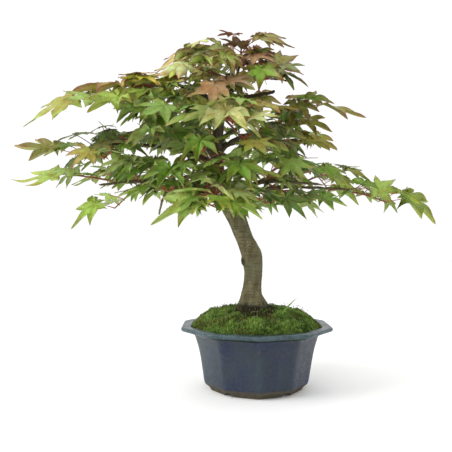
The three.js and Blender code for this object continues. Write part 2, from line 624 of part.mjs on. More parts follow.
const plant = new THREE.Group()
plant.add(
  mesh('pot', pot(), { color: 0x454c57, roughness: 0.25 }),
  mesh('drain_mesh', drainMesh(), { color: 0x1f2224, roughness: 0.6 }),
  mesh('drain_wire', drainWire(), { color: 0xb5b3ad, roughness: 0.35, metalness: 0.9 }),
  mesh('soil', soil(), { color: 0x4a3a28, roughness: 0.95 }),
  mesh('moss', moss(), { color: 0x5a8a2a, roughness: 0.95 }),
  mesh('grass_blade', grassBlade(), { color: 0x7fae4a, roughness: 0.5 }),
  mesh('trunk', joined(wood), BARK),
)
leafyShoots().forEach((body, i) => {
  const color = LEAF_COLOURS[i % LEAF_COLOURS.length]
  plant.add(mesh(`leafy_shoot_${String(i + 1).padStart(2, '0')}`, body, { color, roughness: 0.5 }))
})

const middle = new THREE.Box3().setFromObject(plant).getCenter(new THREE.Vector3())
plant.position.set(-middle.x, -middle.y, 0)

const tree = new THREE.Group()
tree.add(plant)

export default tree
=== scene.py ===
import math
import random

import bpy
import numpy as np
from mathutils import Euler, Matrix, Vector, noise
from mathutils.kdtree import KDTree


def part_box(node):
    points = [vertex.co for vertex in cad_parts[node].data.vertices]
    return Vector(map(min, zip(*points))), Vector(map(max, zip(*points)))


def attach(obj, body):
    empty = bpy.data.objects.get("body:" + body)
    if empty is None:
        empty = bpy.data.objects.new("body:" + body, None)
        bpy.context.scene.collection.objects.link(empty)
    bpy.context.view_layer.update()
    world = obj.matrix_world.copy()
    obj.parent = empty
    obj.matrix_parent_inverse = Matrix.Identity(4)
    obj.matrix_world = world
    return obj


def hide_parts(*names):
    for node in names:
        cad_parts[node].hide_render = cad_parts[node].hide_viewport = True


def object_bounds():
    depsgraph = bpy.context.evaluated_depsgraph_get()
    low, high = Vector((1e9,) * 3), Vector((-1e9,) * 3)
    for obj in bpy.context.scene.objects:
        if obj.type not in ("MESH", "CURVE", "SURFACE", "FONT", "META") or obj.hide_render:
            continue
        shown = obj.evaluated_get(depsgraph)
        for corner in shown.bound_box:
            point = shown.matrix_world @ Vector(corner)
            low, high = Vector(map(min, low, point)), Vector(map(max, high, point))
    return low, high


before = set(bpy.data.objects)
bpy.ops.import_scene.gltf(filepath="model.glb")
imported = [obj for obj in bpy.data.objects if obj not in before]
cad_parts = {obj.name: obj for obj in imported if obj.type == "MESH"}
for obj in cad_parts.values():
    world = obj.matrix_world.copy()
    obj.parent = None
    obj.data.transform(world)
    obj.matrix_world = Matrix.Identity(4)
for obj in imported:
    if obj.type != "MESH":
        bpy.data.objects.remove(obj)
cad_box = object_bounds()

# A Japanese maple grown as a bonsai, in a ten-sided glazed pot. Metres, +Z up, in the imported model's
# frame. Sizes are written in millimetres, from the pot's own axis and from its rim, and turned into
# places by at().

# ---- Pot ----
# A ten-sided stoneware pot with a turned-out lip, thrown in one piece with its foot ring. It is glazed
# slate blue, which breaks to teal grey where the glaze runs thin on edges and lip. The foot is bare clay,
# cut into five low feet by shallow arches, and the floor has one drain hole.

MM = 0.001
TURN = 2 * math.pi

pot_low, pot_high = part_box("pot")
POT_AXIS = (pot_low + pot_high) / 2
RIM_HEIGHT = pot_high.z / MM


def at(x, y, z):
    """The place that lies x, y from the pot's axis and z above its rim, all in millimetres."""
    return Vector((POT_AXIS.x + x * MM, POT_AXIS.y + y * MM, (RIM_HEIGHT + z) * MM))


def add_piece(name, points, faces, *materials):
    """A smooth-shaded mesh piece that rides with the object. points are in metres."""
    mesh = bpy.data.meshes.new(name)
    mesh.from_pydata([tuple(point) for point in points], [], faces)
    mesh.shade_smooth()
    for material in materials:
        mesh.materials.append(material)
    piece = bpy.data.objects.new(name, mesh)
    bpy.context.scene.collection.objects.link(piece)
    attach(piece, "root")
    return piece


def paint(code):
    """A colour as a painter's hex code, turned into the shader's linear red, green and blue."""
    parts = [int(code[i:i + 2], 16) / 255 for i in (0, 2, 4)]
    return [part / 12.92 if part < 0.04 else ((part + 0.055) / 1.055) ** 2.4 for part in parts] + [1]


class Finish:
    """A material as it is mixed: its nodes, its shader, and short ways to add to them."""

    def __init__(self, name, roughness, shine=0.5):
        self.material = bpy.data.materials.new(name)
        self.material.use_nodes = True
        self.tree = self.material.node_tree
        self.shader = self.tree.nodes["Principled BSDF"]
        self.shader.inputs["Roughness"].default_value = roughness
        self.shader.inputs["Specular IOR Level"].default_value = shine
        self.place = self.add("ShaderNodeTexCoord").outputs["Object"]

    def add(self, kind, settings=(), **inputs):
        node = self.tree.nodes.new(kind)
        for key, value in dict(settings).items():
            setattr(node, key, value)
        for key, value in inputs.items():
            self.join(node.inputs[key.replace("_", " ")], value)
        return node

    def join(self, socket, value):
        if isinstance(value, bpy.types.NodeSocket):
            self.tree.links.new(value, socket)
        else:
            socket.default_value = value

    def stretched(self, x, y, z):
        node = self.add("ShaderNodeMapping", Vector=self.place)
        node.inputs["Scale"].default_value = (x, y, z)
        return node.outputs["Vector"]

    def cloud(self, size, detail=4, place=None):
        """Soft noise with blotches of about that many millimetres, from 0 to 1."""
        node = self.add("ShaderNodeTexNoise", Vector=place or self.place, Scale=1 / (size * MM), Detail=detail)
        return node.outputs["Fac"]

    def cells(self, size, place=None):
        node = self.add("ShaderNodeTexVoronoi", Vector=place or self.place, Scale=1 / (size * MM))
        return node.outputs["Distance"]

    def band(self, value, low, high, start=0.0, end=1.0):
        """Carries a value from low..high smoothly to start..end, and keeps it there outside."""
        node = self.add("ShaderNodeMapRange", {"interpolation_type": "SMOOTHSTEP"}, Value=value)
        for key, number in zip(("From Min", "From Max", "To Min", "To Max"), (low, high, start, end)):
            node.inputs[key].default_value = number
        return node.outputs["Result"]

    def sum(self, how, a, b):
        node = self.add("ShaderNodeMath", {"operation": how})
        self.join(node.inputs[0], a)
        self.join(node.inputs[1], b)
        return node.outputs[0]

    def mix(self, share, a, b, how="MIX"):
        node = self.add("ShaderNodeMix", {"data_type": "RGBA", "blend_type": how})
        for i, value in ((0, share), (6, a), (7, b)):
            self.join(node.inputs[i], value)
        return node.outputs[2]

    def mark(self, name, output="Fac"):
        """A mark that the mesh carries at its points."""
        return self.add("ShaderNodeAttribute", {"attribute_name": name}).outputs[output]

    def split(self, vector, axis):
        return self.add("ShaderNodeSeparateXYZ", Vector=vector).outputs[axis]

    def colour(self, value):
        self.join(self.shader.inputs["Base Color"], value)

    def dull(self, value):
        self.join(self.shader.inputs["Roughness"], value)

    def relief(self, height, depth, strength=1.0):
        """Bumps the surface by height times depth, in millimetres."""
        bump = self.add("ShaderNodeBump", Height=height, Distance=depth * MM, Strength=strength)
        self.join(self.shader.inputs["Normal"], bump.outputs["Normal"])


def mark_points(piece, name, values):
    """Writes one value for each of the piece's points: a number, or a list of three."""
    values = np.asarray(values, np.float32)
    kind, key = ("FLOAT", "value") if values.ndim == 1 else ("FLOAT_VECTOR", "vector")
    mark = piece.data.attributes.new(name, kind, "POINT")
    mark.data.foreach_set(key, values.ravel())


POT_SIDES = 10
CORNER_TURN = -math.pi / 2  # a corner of the pot faces the front
CORNER_SHARPNESS = 90
DRAIN_RADIUS, FLOOR_TOP = 11, 11
FOOT_COUNT = 5
FOOT_RING_INSIDE, CLAY_UNDERSIDE = 40, 5  # nothing nearer the axis than the first is cut away
ARCH_WIDTH, ARCH_HEIGHT = 15, 4.5
GLAZE_STARTS = 10.0  # height of the line that the glaze was wiped to
LIP_EDGE = (99.3, 80.3)  # radius and height of the lip's worn top edge
LIP_LOWER_EDGE = (99, 76.6)
LIP_UNDERSIDE = 74.8
WALL_POINTS = 360  # round the pot

# radius to a corner, height from the ground, size of the rounding there
POT_OUTLINE = [
    (DRAIN_RADIUS, FLOOR_TOP, 0.4), (59, FLOOR_TOP, 2), (67.2, 30, 6), (71.6, 50.5, 6), (76.5, 71, 2),
    (84, 76, 2), (87, 80.3, 0.7), (88, 81, 0.7), (98.6, 81, 1.2), (100, 79.6, 1.2), (100, 77.2, 1.2),
    (98.8, 76, 1.2), (92, 75, 2), (82.6, 71.5, 4), (76.4, 52, 12), (72.4, 30, 12), (69.7, 12, 5),
    (68.4, 8.6, 1.6), (62.5, 4, 2), (60.5, 0, 0.8), (49.5, 0, 0.8), (48.5, 5, 1),
    (DRAIN_RADIUS, CLAY_UNDERSIDE, 0.4),
]


def eased_loop(outline, step):
    """A closed outline whose corners are rounded, with points no further apart than step."""
    eased = []
    for i, (radius, height, rounding) in enumerate(outline):
        here = np.array((radius, height))
        before, after = (np.array(outline[j % len(outline)][:2]) for j in (i - 1, i + 1))
        ends = []
        for other in (before, after):
            reach = np.linalg.norm(other - here)
            ends.append(here + (other - here) * min(0.45, rounding / reach))
        for t in (0, 0.25, 0.5, 0.75, 1):
            eased.append((1 - t) ** 2 * ends[0] + 2 * t * (1 - t) * here + t * t * ends[1])
    loop = []
    for here, there in zip(eased, eased[1:] + eased[:1]):
        pieces = max(1, math.ceil(np.linalg.norm(there - here) / step))
        loop += [here + (there - here) * k / pieces for k in range(pieces)]
    return loop


def side_reach(turn, sharpness=CORNER_SHARPNESS):
    """How far the ten-sided outline reaches at a turn, against its corner; the corners are soft."""
    cosines = [max(0.0, math.cos(turn - CORNER_TURN - TURN * (k + 0.5) / POT_SIDES)) for k in range(POT_SIDES)]
    return math.cos(math.pi / POT_SIDES) / sum(c ** sharpness for c in cosines) ** (1 / sharpness)


def arch_height(x, y):
    """How high the underside is cut away between the feet."""
    radius = ((ARCH_WIDTH / 2) ** 2 + ARCH_HEIGHT ** 2) / (2 * ARCH_HEIGHT)
    heights = [0.0]
    for foot in range(FOOT_COUNT):
        turn = CORNER_TURN + TURN * (foot + 0.5) / FOOT_COUNT
        if x * math.cos(turn) + y * math.sin(turn) > 0:
            aside = y * math.cos(turn) - x * math.sin(turn)
            if abs(aside) < radius:
                heights.append(ARCH_HEIGHT - radius + math.sqrt(radius ** 2 - aside ** 2))
    return max(heights)


def make_pot():
    loop = eased_loop(POT_OUTLINE, 1.6)
    around = WALL_POINTS
    turns = [TURN * k / around for k in range(around)]
    reaches = [side_reach(turn) for turn in turns]
    points, thin = [], []
    for radius, height in loop:
        # the drain hole is round, and the sides take over from it across the floor
        roundness = max(0.0, 1 - abs(radius - DRAIN_RADIUS) / 12) if height < FLOOR_TOP + 2 else 0.0
        for turn, reach in zip(turns, reaches):
            out = radius * (roundness + (1 - roundness) * reach)
            x, y = out * math.cos(turn), out * math.sin(turn)
            z = height
            if height < CLAY_UNDERSIDE and radius > FOOT_RING_INSIDE:
                z = max(height, min(arch_height(x, y), CLAY_UNDERSIDE))
            # hand-thrown walls are never quite even
            wave = 0.5 * noise.noise((x / 40, y / 40, z / 40)) if 9 < height < 80 else 0.0
            points.append(at(x * (1 + wave / 90), y * (1 + wave / 90), z - RIM_HEIGHT))
            corner = max(0.0, (reach - 0.978) / 0.012)
            lip = max(0.0, 1 - math.hypot(radius - LIP_EDGE[0], (height - LIP_EDGE[1]) * 0.8) / 3.2)
            under = max(0.0, 1 - math.hypot(radius - LIP_LOWER_EDGE[0], height - LIP_LOWER_EDGE[1]) / 2.4)
            thin.append(min(1.0, 0.1 * corner + 0.7 * lip + 0.4 * under))
    rows, faces = len(loop), []
    for row in range(rows):
        for k in range(around):
            here, there = row * around, (row + 1) % rows * around
            faces.append((here + k, there + k, there + (k + 1) % around, here + (k + 1) % around))
    pot = add_piece("glazed_pot", points, faces, pot_finish())
    mark_points(pot, "thin_glaze", thin)
    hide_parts("pot")


def pot_finish():
    finish = Finish("slate_blue_glaze", 0.3, 0.35)
    blotches = finish.cloud(38, 5)
    streaks = finish.cloud(30, 4, finish.stretched(1, 1, 0.35))
    glaze = finish.mix(finish.band(blotches, 0.38, 0.66), paint("232c37"), paint("1b2240"))
    glaze = finish.mix(finish.band(streaks, 0.45, 0.72, 0, 0.6), glaze, paint("2c383f"))
    mottle = finish.band(finish.cloud(5, 3), 0.4, 0.75, 0, 0.35)
    glaze = finish.mix(mottle, glaze, paint("333f4d"))
    # painted light: the glaze is lightened to grey-green on the left, the side the light falls on
    left = finish.band(finish.split(finish.place, "X"), POT_AXIS.x - 0.088, POT_AXIS.x - 0.04, 0.55, 0)
    glaze = finish.mix(left, glaze, paint("4c5a58"))
    spots = finish.sum("MULTIPLY", finish.band(finish.cloud(9, 2), 0.66, 0.74), 0.55)
    glaze = finish.mix(spots, glaze, paint("4a4436"))
    freckles = finish.band(finish.cells(4.2), 0.05, 0.14, 0.5, 0)
    freckles = finish.sum("MULTIPLY", freckles, finish.band(finish.cloud(14, 2), 0.55, 0.65))
    glaze = finish.mix(freckles, glaze, paint("857f6c"))
    height = finish.split(finish.place, "Z")
    upper = finish.band(height, LIP_UNDERSIDE * MM, (LIP_UNDERSIDE + 1.7) * MM)
    lip = finish.mix(finish.band(finish.cloud(12, 4), 0.35, 0.7), paint("172b35"), paint("334b50"))
    glaze = finish.mix(finish.sum("MULTIPLY", upper, 0.85), glaze, lip)
    worn = finish.band(finish.cloud(6, 3), 0.25, 0.6, 0.25, 0.75)
    thin = finish.sum("MULTIPLY", finish.mark("thin_glaze"), worn)
    glaze = finish.mix(thin, glaze, paint("54676a"))
    wavy = finish.sum("ADD", height, finish.sum("MULTIPLY", finish.cloud(16, 2), -0.0016))
    bare = finish.band(wavy, (GLAZE_STARTS - 1.7) * MM, (GLAZE_STARTS - 0.7) * MM, 1, 0)
    clay = finish.mix(finish.cloud(5, 5), paint("38332a"), paint("5c5544"))
    finish.colour(finish.mix(bare, glaze, clay))
    finish.dull(finish.sum("ADD", finish.sum("MULTIPLY", bare, 0.5),
                           finish.band(finish.cloud(7, 3), 0.3, 0.7, 0.24, 0.42)))
    pits = finish.sum("ADD", finish.cloud(2.2, 3), finish.sum("MULTIPLY", finish.cloud(11, 2), 1.5))
    finish.relief(pits, 0.25, 0.6)
    return finish.material


make_pot()


# ---- Drain mesh and its wire ----
# A square of black plastic mesh lies over the drain hole to keep the soil in. A staple of soft
# aluminium wire holds it, with its two legs bent apart under the pot's floor.


def mesh_finish():
    finish = Finish("black_plastic_mesh", 0.6)
    finish.colour(finish.mix(finish.cloud(3), paint("1d2022"), paint("35352f")))
    finish.dull(finish.band(finish.cloud(2), 0.3, 0.7, 0.5, 0.75))
    finish.relief(finish.cloud(0.8), 0.1)
    return finish.material


def wire_finish():
    finish = Finish("aluminium_wire", 0.38)
    finish.shader.inputs["Metallic"].default_value = 0.9
    finish.colour(finish.mix(finish.cloud(4), paint("a8a69f"), paint("8a877d")))
    finish.dull(finish.band(finish.cloud(2), 0.3, 0.7, 0.3, 0.5))
    finish.relief(finish.cloud(0.6), 0.05)
    return finish.material


def refinish(node, material):
    """Gives a piece that is carried over from the frame its real finish."""
    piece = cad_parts[node]
    piece.data.materials.clear()
    piece.data.materials.append(material)
    for slot in piece.material_slots:
        slot.material = material


refinish("drain_mesh", mesh_finish())
refinish("drain_wire", wire_finish())


# ---- Soil ----
# Gritty dark potting mix fills the pot. Only crumbs of it show, washed bare at the foot of the trunk,
# with two chips of pale pumice among them.

TRUNK_FOOT = (-1, 0)
MOUTH_RADIUS = 87
MOUND_EDGE, MOUND_TOP = -3, 19
CRUMB_COUNT = 760
PUMICE_PLACES = ((-3.5, -33), (-1.2, -34))


def mound(x, y):
    """The height of the moss from the rim: a low, flat-topped mound."""
    out = math.hypot(x, y) / (MOUTH_RADIUS * side_reach(math.atan2(y, x)))
    return MOUND_EDGE + (MOUND_TOP - MOUND_EDGE) * (1 - min(1, out) ** 4)


def soil_finish():
    finish = Finish("dark_potting_mix", 0.95, 0.2)
    earth = finish.mix(finish.cloud(3), paint("1f1811"), paint("3f3325"))
    earth = finish.mix(finish.band(finish.cells(2.5), 0.1, 0.35, 0.5, 0), earth, paint("524532"))
    finish.colour(earth)
    finish.relief(finish.cloud(1.5), 0.8)
    return finish.material


def lump(centre, size, rng, points, faces):
    """Adds one uneven grain: a top, a bottom, and two rings of six corners between."""
    start, sides = len(points), 6
    points.append(centre + Vector((0, 0, size * rng.uniform(0.5, 0.8))))
    for tier, share in ((0.4, 0.85), (-0.35, 0.9)):
        for k in range(sides):
            turn = TURN * (k + 0.5 * (tier < 0)) / sides
            out = size * share * rng.uniform(0.75, 1.15)
            points.append(centre + Vector((out * math.cos(turn), out * math.sin(turn), size * tier)))
    points.append(centre - Vector((0, 0, size * 0.6)))
    first, second, last = start + 1, start + 1 + sides, start + 1 + 2 * sides
    for k in range(sides):
        n = (k + 1) % sides
        faces.append((start, first + k, first + n))
        faces.append((first + k, second + k, first + n))
        faces.append((second + k, second + n, first + n))
        faces.append((last, second + n, second + k))


def make_crumbs():
    rng = random.Random(5)
    points, faces = [], []
    for _ in range(CRUMB_COUNT):
        turn = rng.gauss(-math.pi / 2, 0.75)
        out = rng.uniform(21, 32 + 18 * max(0.0, -math.sin(turn)) ** 4)
        x, y = TRUNK_FOOT[0] + out * math.cos(turn), TRUNK_FOOT[1] + out * math.sin(turn)
        size = rng.uniform(0.5, 1.7)
        lump(at(x, y, mound(x, y) + rng.uniform(-0.6, 1.2)), size * MM, rng, points, faces)
    crumbs = add_piece("soil_crumbs", points, faces, soil_finish())

    points, faces = [], []
    for x, y in PUMICE_PLACES:
        lump(at(x, y, mound(x, y) + 1.2), 1.0 * MM, rng, points, faces)
    pumice = Finish("pale_pumice", 0.9, 0.3)
    pumice.colour(pumice.mix(pumice.cloud(1), paint("c9c0b0"), paint("94897a")))
    pumice.relief(pumice.cloud(0.5), 0.3)
    add_piece("pumice_chips", points, faces, pumice.material)


refinish("soil", soil_finish())
make_crumbs()


# ---- Moss ----
# A living mat of moss covers the soil up to the trunk, in cushions that are bright green where they
# are young and olive where they dry. Hair-thin stalks with brown spore cases stand up out of it.

MAT_EDGE_GAP = 0.8  # between the mat and the pot's mouth
MAT_UNDERSIDE = -9
MAT_AROUND, MAT_RINGS = 240, 64
TUFT_COUNT = 19000
TRUNK_CLEARANCE = 20  # nothing grows inside the trunk
STALK_TRIES = 120
# x, y and spread of the patches where spore stalks stand
STALK_PATCHES = [
    (-46, 8, 10), (-30, 16, 9), (-14, 30, 8), (44, 14, 9), (60, 4, 8), (-10, -50, 20), (20, 50, 20),
]


def moss_finish():
    finish = Finish("moss", 0.9, 0.15)
    age = finish.cloud(17, 4)
    green = finish.mix(finish.band(age, 0.36, 0.6), paint("385c1b"), paint("7fa045"))
    green = finish.mix(finish.band(finish.cloud(6, 3), 0.5, 0.7, 0, 0.7), green, paint("9cbc55"))
    dry_patches = finish.band(finish.cloud(24, 3), 0.48, 0.64)
    dry = finish.sum("MULTIPLY", dry_patches, finish.band(finish.cloud(4), 0.35, 0.6))
    green = finish.mix(dry, green, paint("6a6330"))
    tip = finish.mark("tip")
    # the shoots' tips are paled towards cream: lighter young growth, with a painted highlight on top
    green = finish.mix(finish.band(tip, 0.6, 1, 0, 0.7), green, paint("dbe8a8"))
    # painted shade: the shoots are darkened almost to black towards their feet, and the mat under them too
    finish.colour(finish.mix(finish.band(tip, 0, 0.65, 0.9, 0), green, paint("182509")))
    finish.relief(finish.cloud(1.2), 0.5)
    return finish.material


def moss_relief(x, y):
    """Cushions and hollows of the mat, in millimetres."""
    big = noise.noise((x / 16, y / 16, 3.1))
    small = noise.noise((x / 5, y / 5, 7.7))
    return 2.4 * big + 1.5 * small


def foot_share(x, y):
    """1 at the trunk's foot, fading to 0 in the moss; the bare ground reaches further in front."""
    out = math.hypot(x - TRUNK_FOOT[0], y - TRUNK_FOOT[1])
    reach = 31 + 30 * max(0.0, -y / max(out, 1)) ** 3
    return max(0.0, min(1.0, (reach - out + 6 * noise.noise((x / 7, y / 7, 0))) / 8))


def make_moss(material):
    around, rings = MAT_AROUND, MAT_RINGS
    points, tips, faces = [], [], []
    for ring in range(rings + 1):
        for k in range(around):
            turn = TURN * k / around
            out = (MOUTH_RADIUS - MAT_EDGE_GAP) * side_reach(turn) * (1 - (1 - ring / rings) ** 1.3)
            x, y = out * math.cos(turn), out * math.sin(turn)
            edge = min(1.0, (1 - ring / rings) * 8)
            points.append(at(x, y, mound(x, y) - 1.2 + edge * moss_relief(x, y) - 1.5 * foot_share(x, y)))
            # the mat is marked low, so it takes the shoots' painted shade; at the trunk's foot, where it
            # stands for bare ground, it is painted darkest
            tips.append(0.25 * (1 - foot_share(x, y)))
    for k in range(around):  # the mat's underside
        x, y, _ = points[rings * around + k]
        points.append(Vector((x, y, at(0, 0, MAT_UNDERSIDE).z)))
        tips.append(0.0)
    top, bottom = len(points), len(points) + 1
    points += [at(0, 0, MOUND_TOP - 2), at(0, 0, 6)]
    tips += [0.0, 0.0]
    for ring in range(rings + 1):
        for k in range(around):
            n = (k + 1) % around
            here, there = ring * around, (ring + 1) * around
            faces.append((here + k, there + k, there + n, here + n))
    for k in range(around):
        n = (k + 1) % around
        faces.append((top, k, n))
        faces.append((bottom, (rings + 1) * around + n, (rings + 1) * around + k))
    mat = add_piece("moss_mat", points, faces, material)
    mark_points(mat, "tip", tips)
    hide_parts("moss")


def spike(foot, lean, length, radius, points, faces, tips, sides=3, tip_mark=1.0):
    """Adds one tapered shoot that bends towards lean, closed at both ends."""
    start = len(points)
    for share, width in ((0, 1), (0.5, 0.85)):
        middle = foot + Vector((0, 0, length * share)) + lean * share ** 2
        for k in range(sides):
            turn = TURN * k / sides + lean.x * 900
            points.append(middle + Vector((math.cos(turn), math.sin(turn), 0)) * (radius * width))
            tips.append(tip_mark * share * 1.2)
    points.append(foot + Vector((0, 0, length)) + lean)
    tips.append(tip_mark)
    for k in range(sides):
        n = (k + 1) % sides
        faces.append((start + k, start + n, start + sides + n, start + sides + k))
        faces.append((start + sides + k, start + sides + n, start + 2 * sides))
    faces.append(tuple(start + k for k in reversed(range(sides))))


def make_moss_shoots(material):
    rng = random.Random(11)
    points, faces, tips = [], [], []
    made = 0
    while made < TUFT_COUNT:
        turn, share = rng.uniform(0, TURN), math.sqrt(rng.random())
        out = (MOUTH_RADIUS - 2) * side_reach(turn) * share
        x, y = out * math.cos(turn), out * math.sin(turn)
        if rng.random() < 0.92 * foot_share(x, y) or math.hypot(x + 1, y) < TRUNK_CLEARANCE:
            continue
        made += 1
        lush = 0.5 + 0.5 * noise.noise((x / 13, y / 13, 1.7))
        length = (1.8 + 5.6 * lush * rng.uniform(0.3, 1.4)) * (1 if share < 0.93 else 0.7)
        lean = Vector((rng.gauss(0, 1.3), rng.gauss(0, 1.3), 0)) * MM
        foot = at(x, y, mound(x, y) - 1.4 + moss_relief(x, y) * min(1, (1 - share) * 12))
        vigour = rng.uniform(0.3, 1.0)
        spike(foot, lean, length * MM, rng.uniform(0.35, 0.75) * MM, points, faces, tips, tip_mark=vigour)
    shoots = add_piece("moss_shoots", points, faces, material)
    mark_points(shoots, "tip", tips)


def make_spore_stalks():
    rng = random.Random(23)
    points, faces, tips = [], [], []
    for _ in range(STALK_TRIES):
        x, y, spread = rng.choice(STALK_PATCHES)
        x, y = rng.gauss(x, spread), rng.gauss(y, spread)
        if math.hypot(x, y) > 76 or foot_share(x, y) > 0:
            continue
        foot = at(x, y, mound(x, y) - 1)
        lean = Vector((rng.gauss(0, 1.3), rng.gauss(0, 1.3), 0)) * MM
        length = rng.uniform(5, 9.5) * MM
        spike(foot, lean, length, 0.22 * MM, points, faces, tips, tip_mark=0.4)
        end = foot + lean + Vector((0, 0, length))
        start = len(points)
        lump(end, rng.uniform(0.6, 0.95) * MM, rng, points, faces)
        tips += [1.0] * (len(points) - start)
    finish = Finish("spore_stalks", 0.6, 0.3)
    stalk = finish.mix(finish.cloud(2), paint("6a3a20"), paint("5c6a26"))
    finish.colour(finish.mix(finish.band(finish.mark("tip"), 0.5, 0.8), stalk, paint("4a3a22")))
    finish.relief(finish.cloud(0.5), 0.1)
    stalks = add_piece("spore_stalks", points, faces, finish.material)
    mark_points(stalks, "tip", tips)


moss_material = moss_finish()
make_moss(moss_material)
make_moss_shoots(moss_material)
make_spore_stalks()


# ---- Grass blade ----
# One blade of grass has seeded itself in the moss. It is a folded green ribbon that stands up and
# bends over to the right.


BLADE_WIDTH = 2.7


def make_grass():
    low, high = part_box("grass_blade")
    foot = Vector((low.x + 1.2 * MM, (low.y + high.y) / 2, low.z))
    bow = Vector((low.x + 9 * MM, foot.y, low.z + 0.45 * (high.z - low.z)))
    end = Vector((high.x, (low.y + high.y) / 2 - 1.5 * MM, high.z))
    points, faces, steps = [], [], 24
    for step in range(steps + 1):
        t = step / steps
        middle = (1 - t) ** 2 * foot + 2 * t * (1 - t) * bow + t * t * end
        width = BLADE_WIDTH * MM * (1 - t ** 2.6) + 0.05 * MM
        for side, lift in ((-1, 0.35), (0, -0.25), (1, 0.35), (0, 0.0)):
            points.append(middle + Vector((-0.35 * side * width, side * width, lift * width)))
    for step in range(steps):
        for k in range(4):
            here, n = step * 4, (k + 1) % 4
            faces.append((here + k, here + n, here + 4 + n, here + 4 + k))
    faces += [(3, 2, 1, 0), tuple(steps * 4 + k for k in range(4))]
    finish = Finish("grass", 0.5, 0.4)
    finish.colour(finish.mix(finish.cloud(6, 3, finish.stretched(1, 6, 1)), paint("5c8a26"), paint("83ab3d")))
    finish.relief(finish.cloud(1.5, 2, finish.stretched(1, 8, 1)), 0.1)
    blade = add_piece("grass_ribbon", points, faces, finish.material)
    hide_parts("grass_blade")


make_grass()


# ---- Trunk and limbs ----
# One living piece of wood: a trunk that bends left, a leader, and limbs that spread level from it. The
# bark is thin and grey-brown, ringed with fine wrinkles, with a healed pruning scar low on the left and
# surface roots that run into the moss.

# x, y, z from the pot's axis and rim, and radius
TRUNK = [
    (-1, 0, -16, 19), (-2, 0, 5, 25), (-3, 0, 14, 24.5), (-4.5, 0, 20, 22.5), (-4.8, 0, 28, 18.3),
    (-5.2, 1, 38, 14), (-4, 2, 52, 11.8), (-3, 2, 68, 11.6), (-4, 1, 80, 12.8), (-6, 0, 92, 13.2),
    (-13, -2, 107, 11.3), (-19, -4, 122, 11.2), (-25, -5, 137, 12.2), (-31, -4, 151, 13.6),
    (-40, -1, 166, 11.5), (-48, 3, 186, 9.5), (-50, 5, 226, 8), (-47, 5, 265, 6.6),
    (-35, 4, 300, 5), (-26, 1, 320, 3.6),
]
# foot, two places that bend it, end; radius at the foot and at the end
LIMBS = [
    ((-30, -3, 150), (-10, -6, 182), (40, -14, 178), (112, -26, 172), 5, 1.15),
    ((-34, -4, 158), (-15, -40, 190), (30, -75, 176), (75, -90, 170), 4, 1.15),
    ((-33, -3, 154), (-75, -14, 192), (-135, -30, 184), (-195, -40, 176), 5, 1.15),
    ((-36, -5, 160), (-45, -50, 188), (-60, -90, 180), (-75, -120, 164), 4, 1.15),
    ((-36, 0, 158), (-25, 50, 190), (0, 90, 186), (25, 135, 178), 4.5, 1.15),
    ((-40, 0, 165), (-70, 45, 196), (-115, 80, 190), (-160, 110, 184), 4, 1.15),
    ((-49, 4, 205), (-95, 2, 235), (-150, -8, 232), (-195, -20, 230), 4, 1.15),
    ((-50, 5, 215), (-80, -40, 245), (-115, -75, 240), (-150, -95, 228), 3.5, 1.15),
    ((-50, 5, 228), (-45, -55, 258), (-42, -100, 252), (-40, -140, 236), 3.5, 1.15),
    ((-49, 5, 222), (-28.7, -2.3, 245), (2, -9, 249.6), (37.3, -15, 248.8), 4, 1.15),
    ((-50, 5, 235), (-29, -25, 251), (-6, -50, 253.4), (16, -68, 249.5), 3.5, 1.15),
    ((-49, 5, 230), (-15, 55, 255), (35, 90, 248), (85, 120, 236), 3.5, 1.15),
    ((-49, 5, 240), (-80, 55, 265), (-115, 90, 260), (-150, 115, 246), 3.5, 1.15),
    ((-43, 5, 280), (-75, 0, 308), (-105, -8, 312), (-135, -14, 308), 3, 1.15),
    ((-32, 3, 305), (-5, -2, 322), (20, -8, 318), (45, -14, 310), 2.6, 1.15),
    ((-38, 4, 294), (-38, -35, 312), (-36, -65, 306), (-34, -92, 294), 2.6, 1.15),
    ((-38, 4, 290), (-40, 45, 312), (-42, 80, 304), (-44, 112, 290), 2.6, 1.15),
    ((-30, 2, 310), (-25, 0, 322), (-22, -4, 330), (-20, -9, 336), 2.6, 1.15),
    ((-34, 4, 296), (-12, 0, 293), (8, -5, 297), (24, -10, 299), 3.0, 2.1),
    ((-75, -14, 177), (-98, -46, 190), (-113, -58, 172), (-118, -60, 138), 2, 1.2),
]
SCAR = Vector((-15.5, -5, 81))
# of each surface root: the turn it sets off at, and how far it runs
ROOTS = ((-2.5, 33), (-1.2, 29), (-0.4, 27), (0.9, 30), (2.0, 31), (3.05, 35))
WOOD_GRAIN = 0.95  # the finest detail of the grown-together surface
LEADER_STARTS = 185  # above it the bark is young and smooth


def sweep(path, radii, sides, swell=None):
    """A round bar along a path of points, as points and faces; its ends are closed."""
    points, faces = [], []
    across = Vector((1, 0, 0))
    for i, middle in enumerate(path):
        ahead = (path[min(i + 1, len(path) - 1)] - path[max(i - 1, 0)]).normalized()
        across = (across - ahead * across.dot(ahead)).normalized()
        up = ahead.cross(across)
        for k in range(sides):
            turn = TURN * k / sides
            radius = radii[i] * (swell(middle, turn) if swell else 1)
            points.append(middle + across * (radius * math.cos(turn)) + up * (radius * math.sin(turn)))
    last = (len(path) - 1) * sides
    for i in range(0, last, sides):
        for k in range(sides):
            n = (k + 1) % sides
            faces.append((i + k, i + n, i + sides + n, i + sides + k))
    faces += [tuple(reversed(range(sides))), tuple(last + k for k in range(sides))]
    return points, faces


def smooth_path(places, steps):
    """A curve through places of any number of values, with steps points between two of them."""
    places = [np.array(place, float) for place in places]
    ends = [2 * places[0] - places[1], *places, 2 * places[-1] - places[-2]]
    path = []
    for a, b, c, d in zip(ends, ends[1:], ends[2:], ends[3:]):
        for k in range(steps):
            t = k / steps
            path.append(0.5 * (2 * b + (c - a) * t + (2 * a - 5 * b + 4 * c - d) * t * t
                               + (3 * b - a - 3 * c + d) * t ** 3))
    return path + [places[-1]]


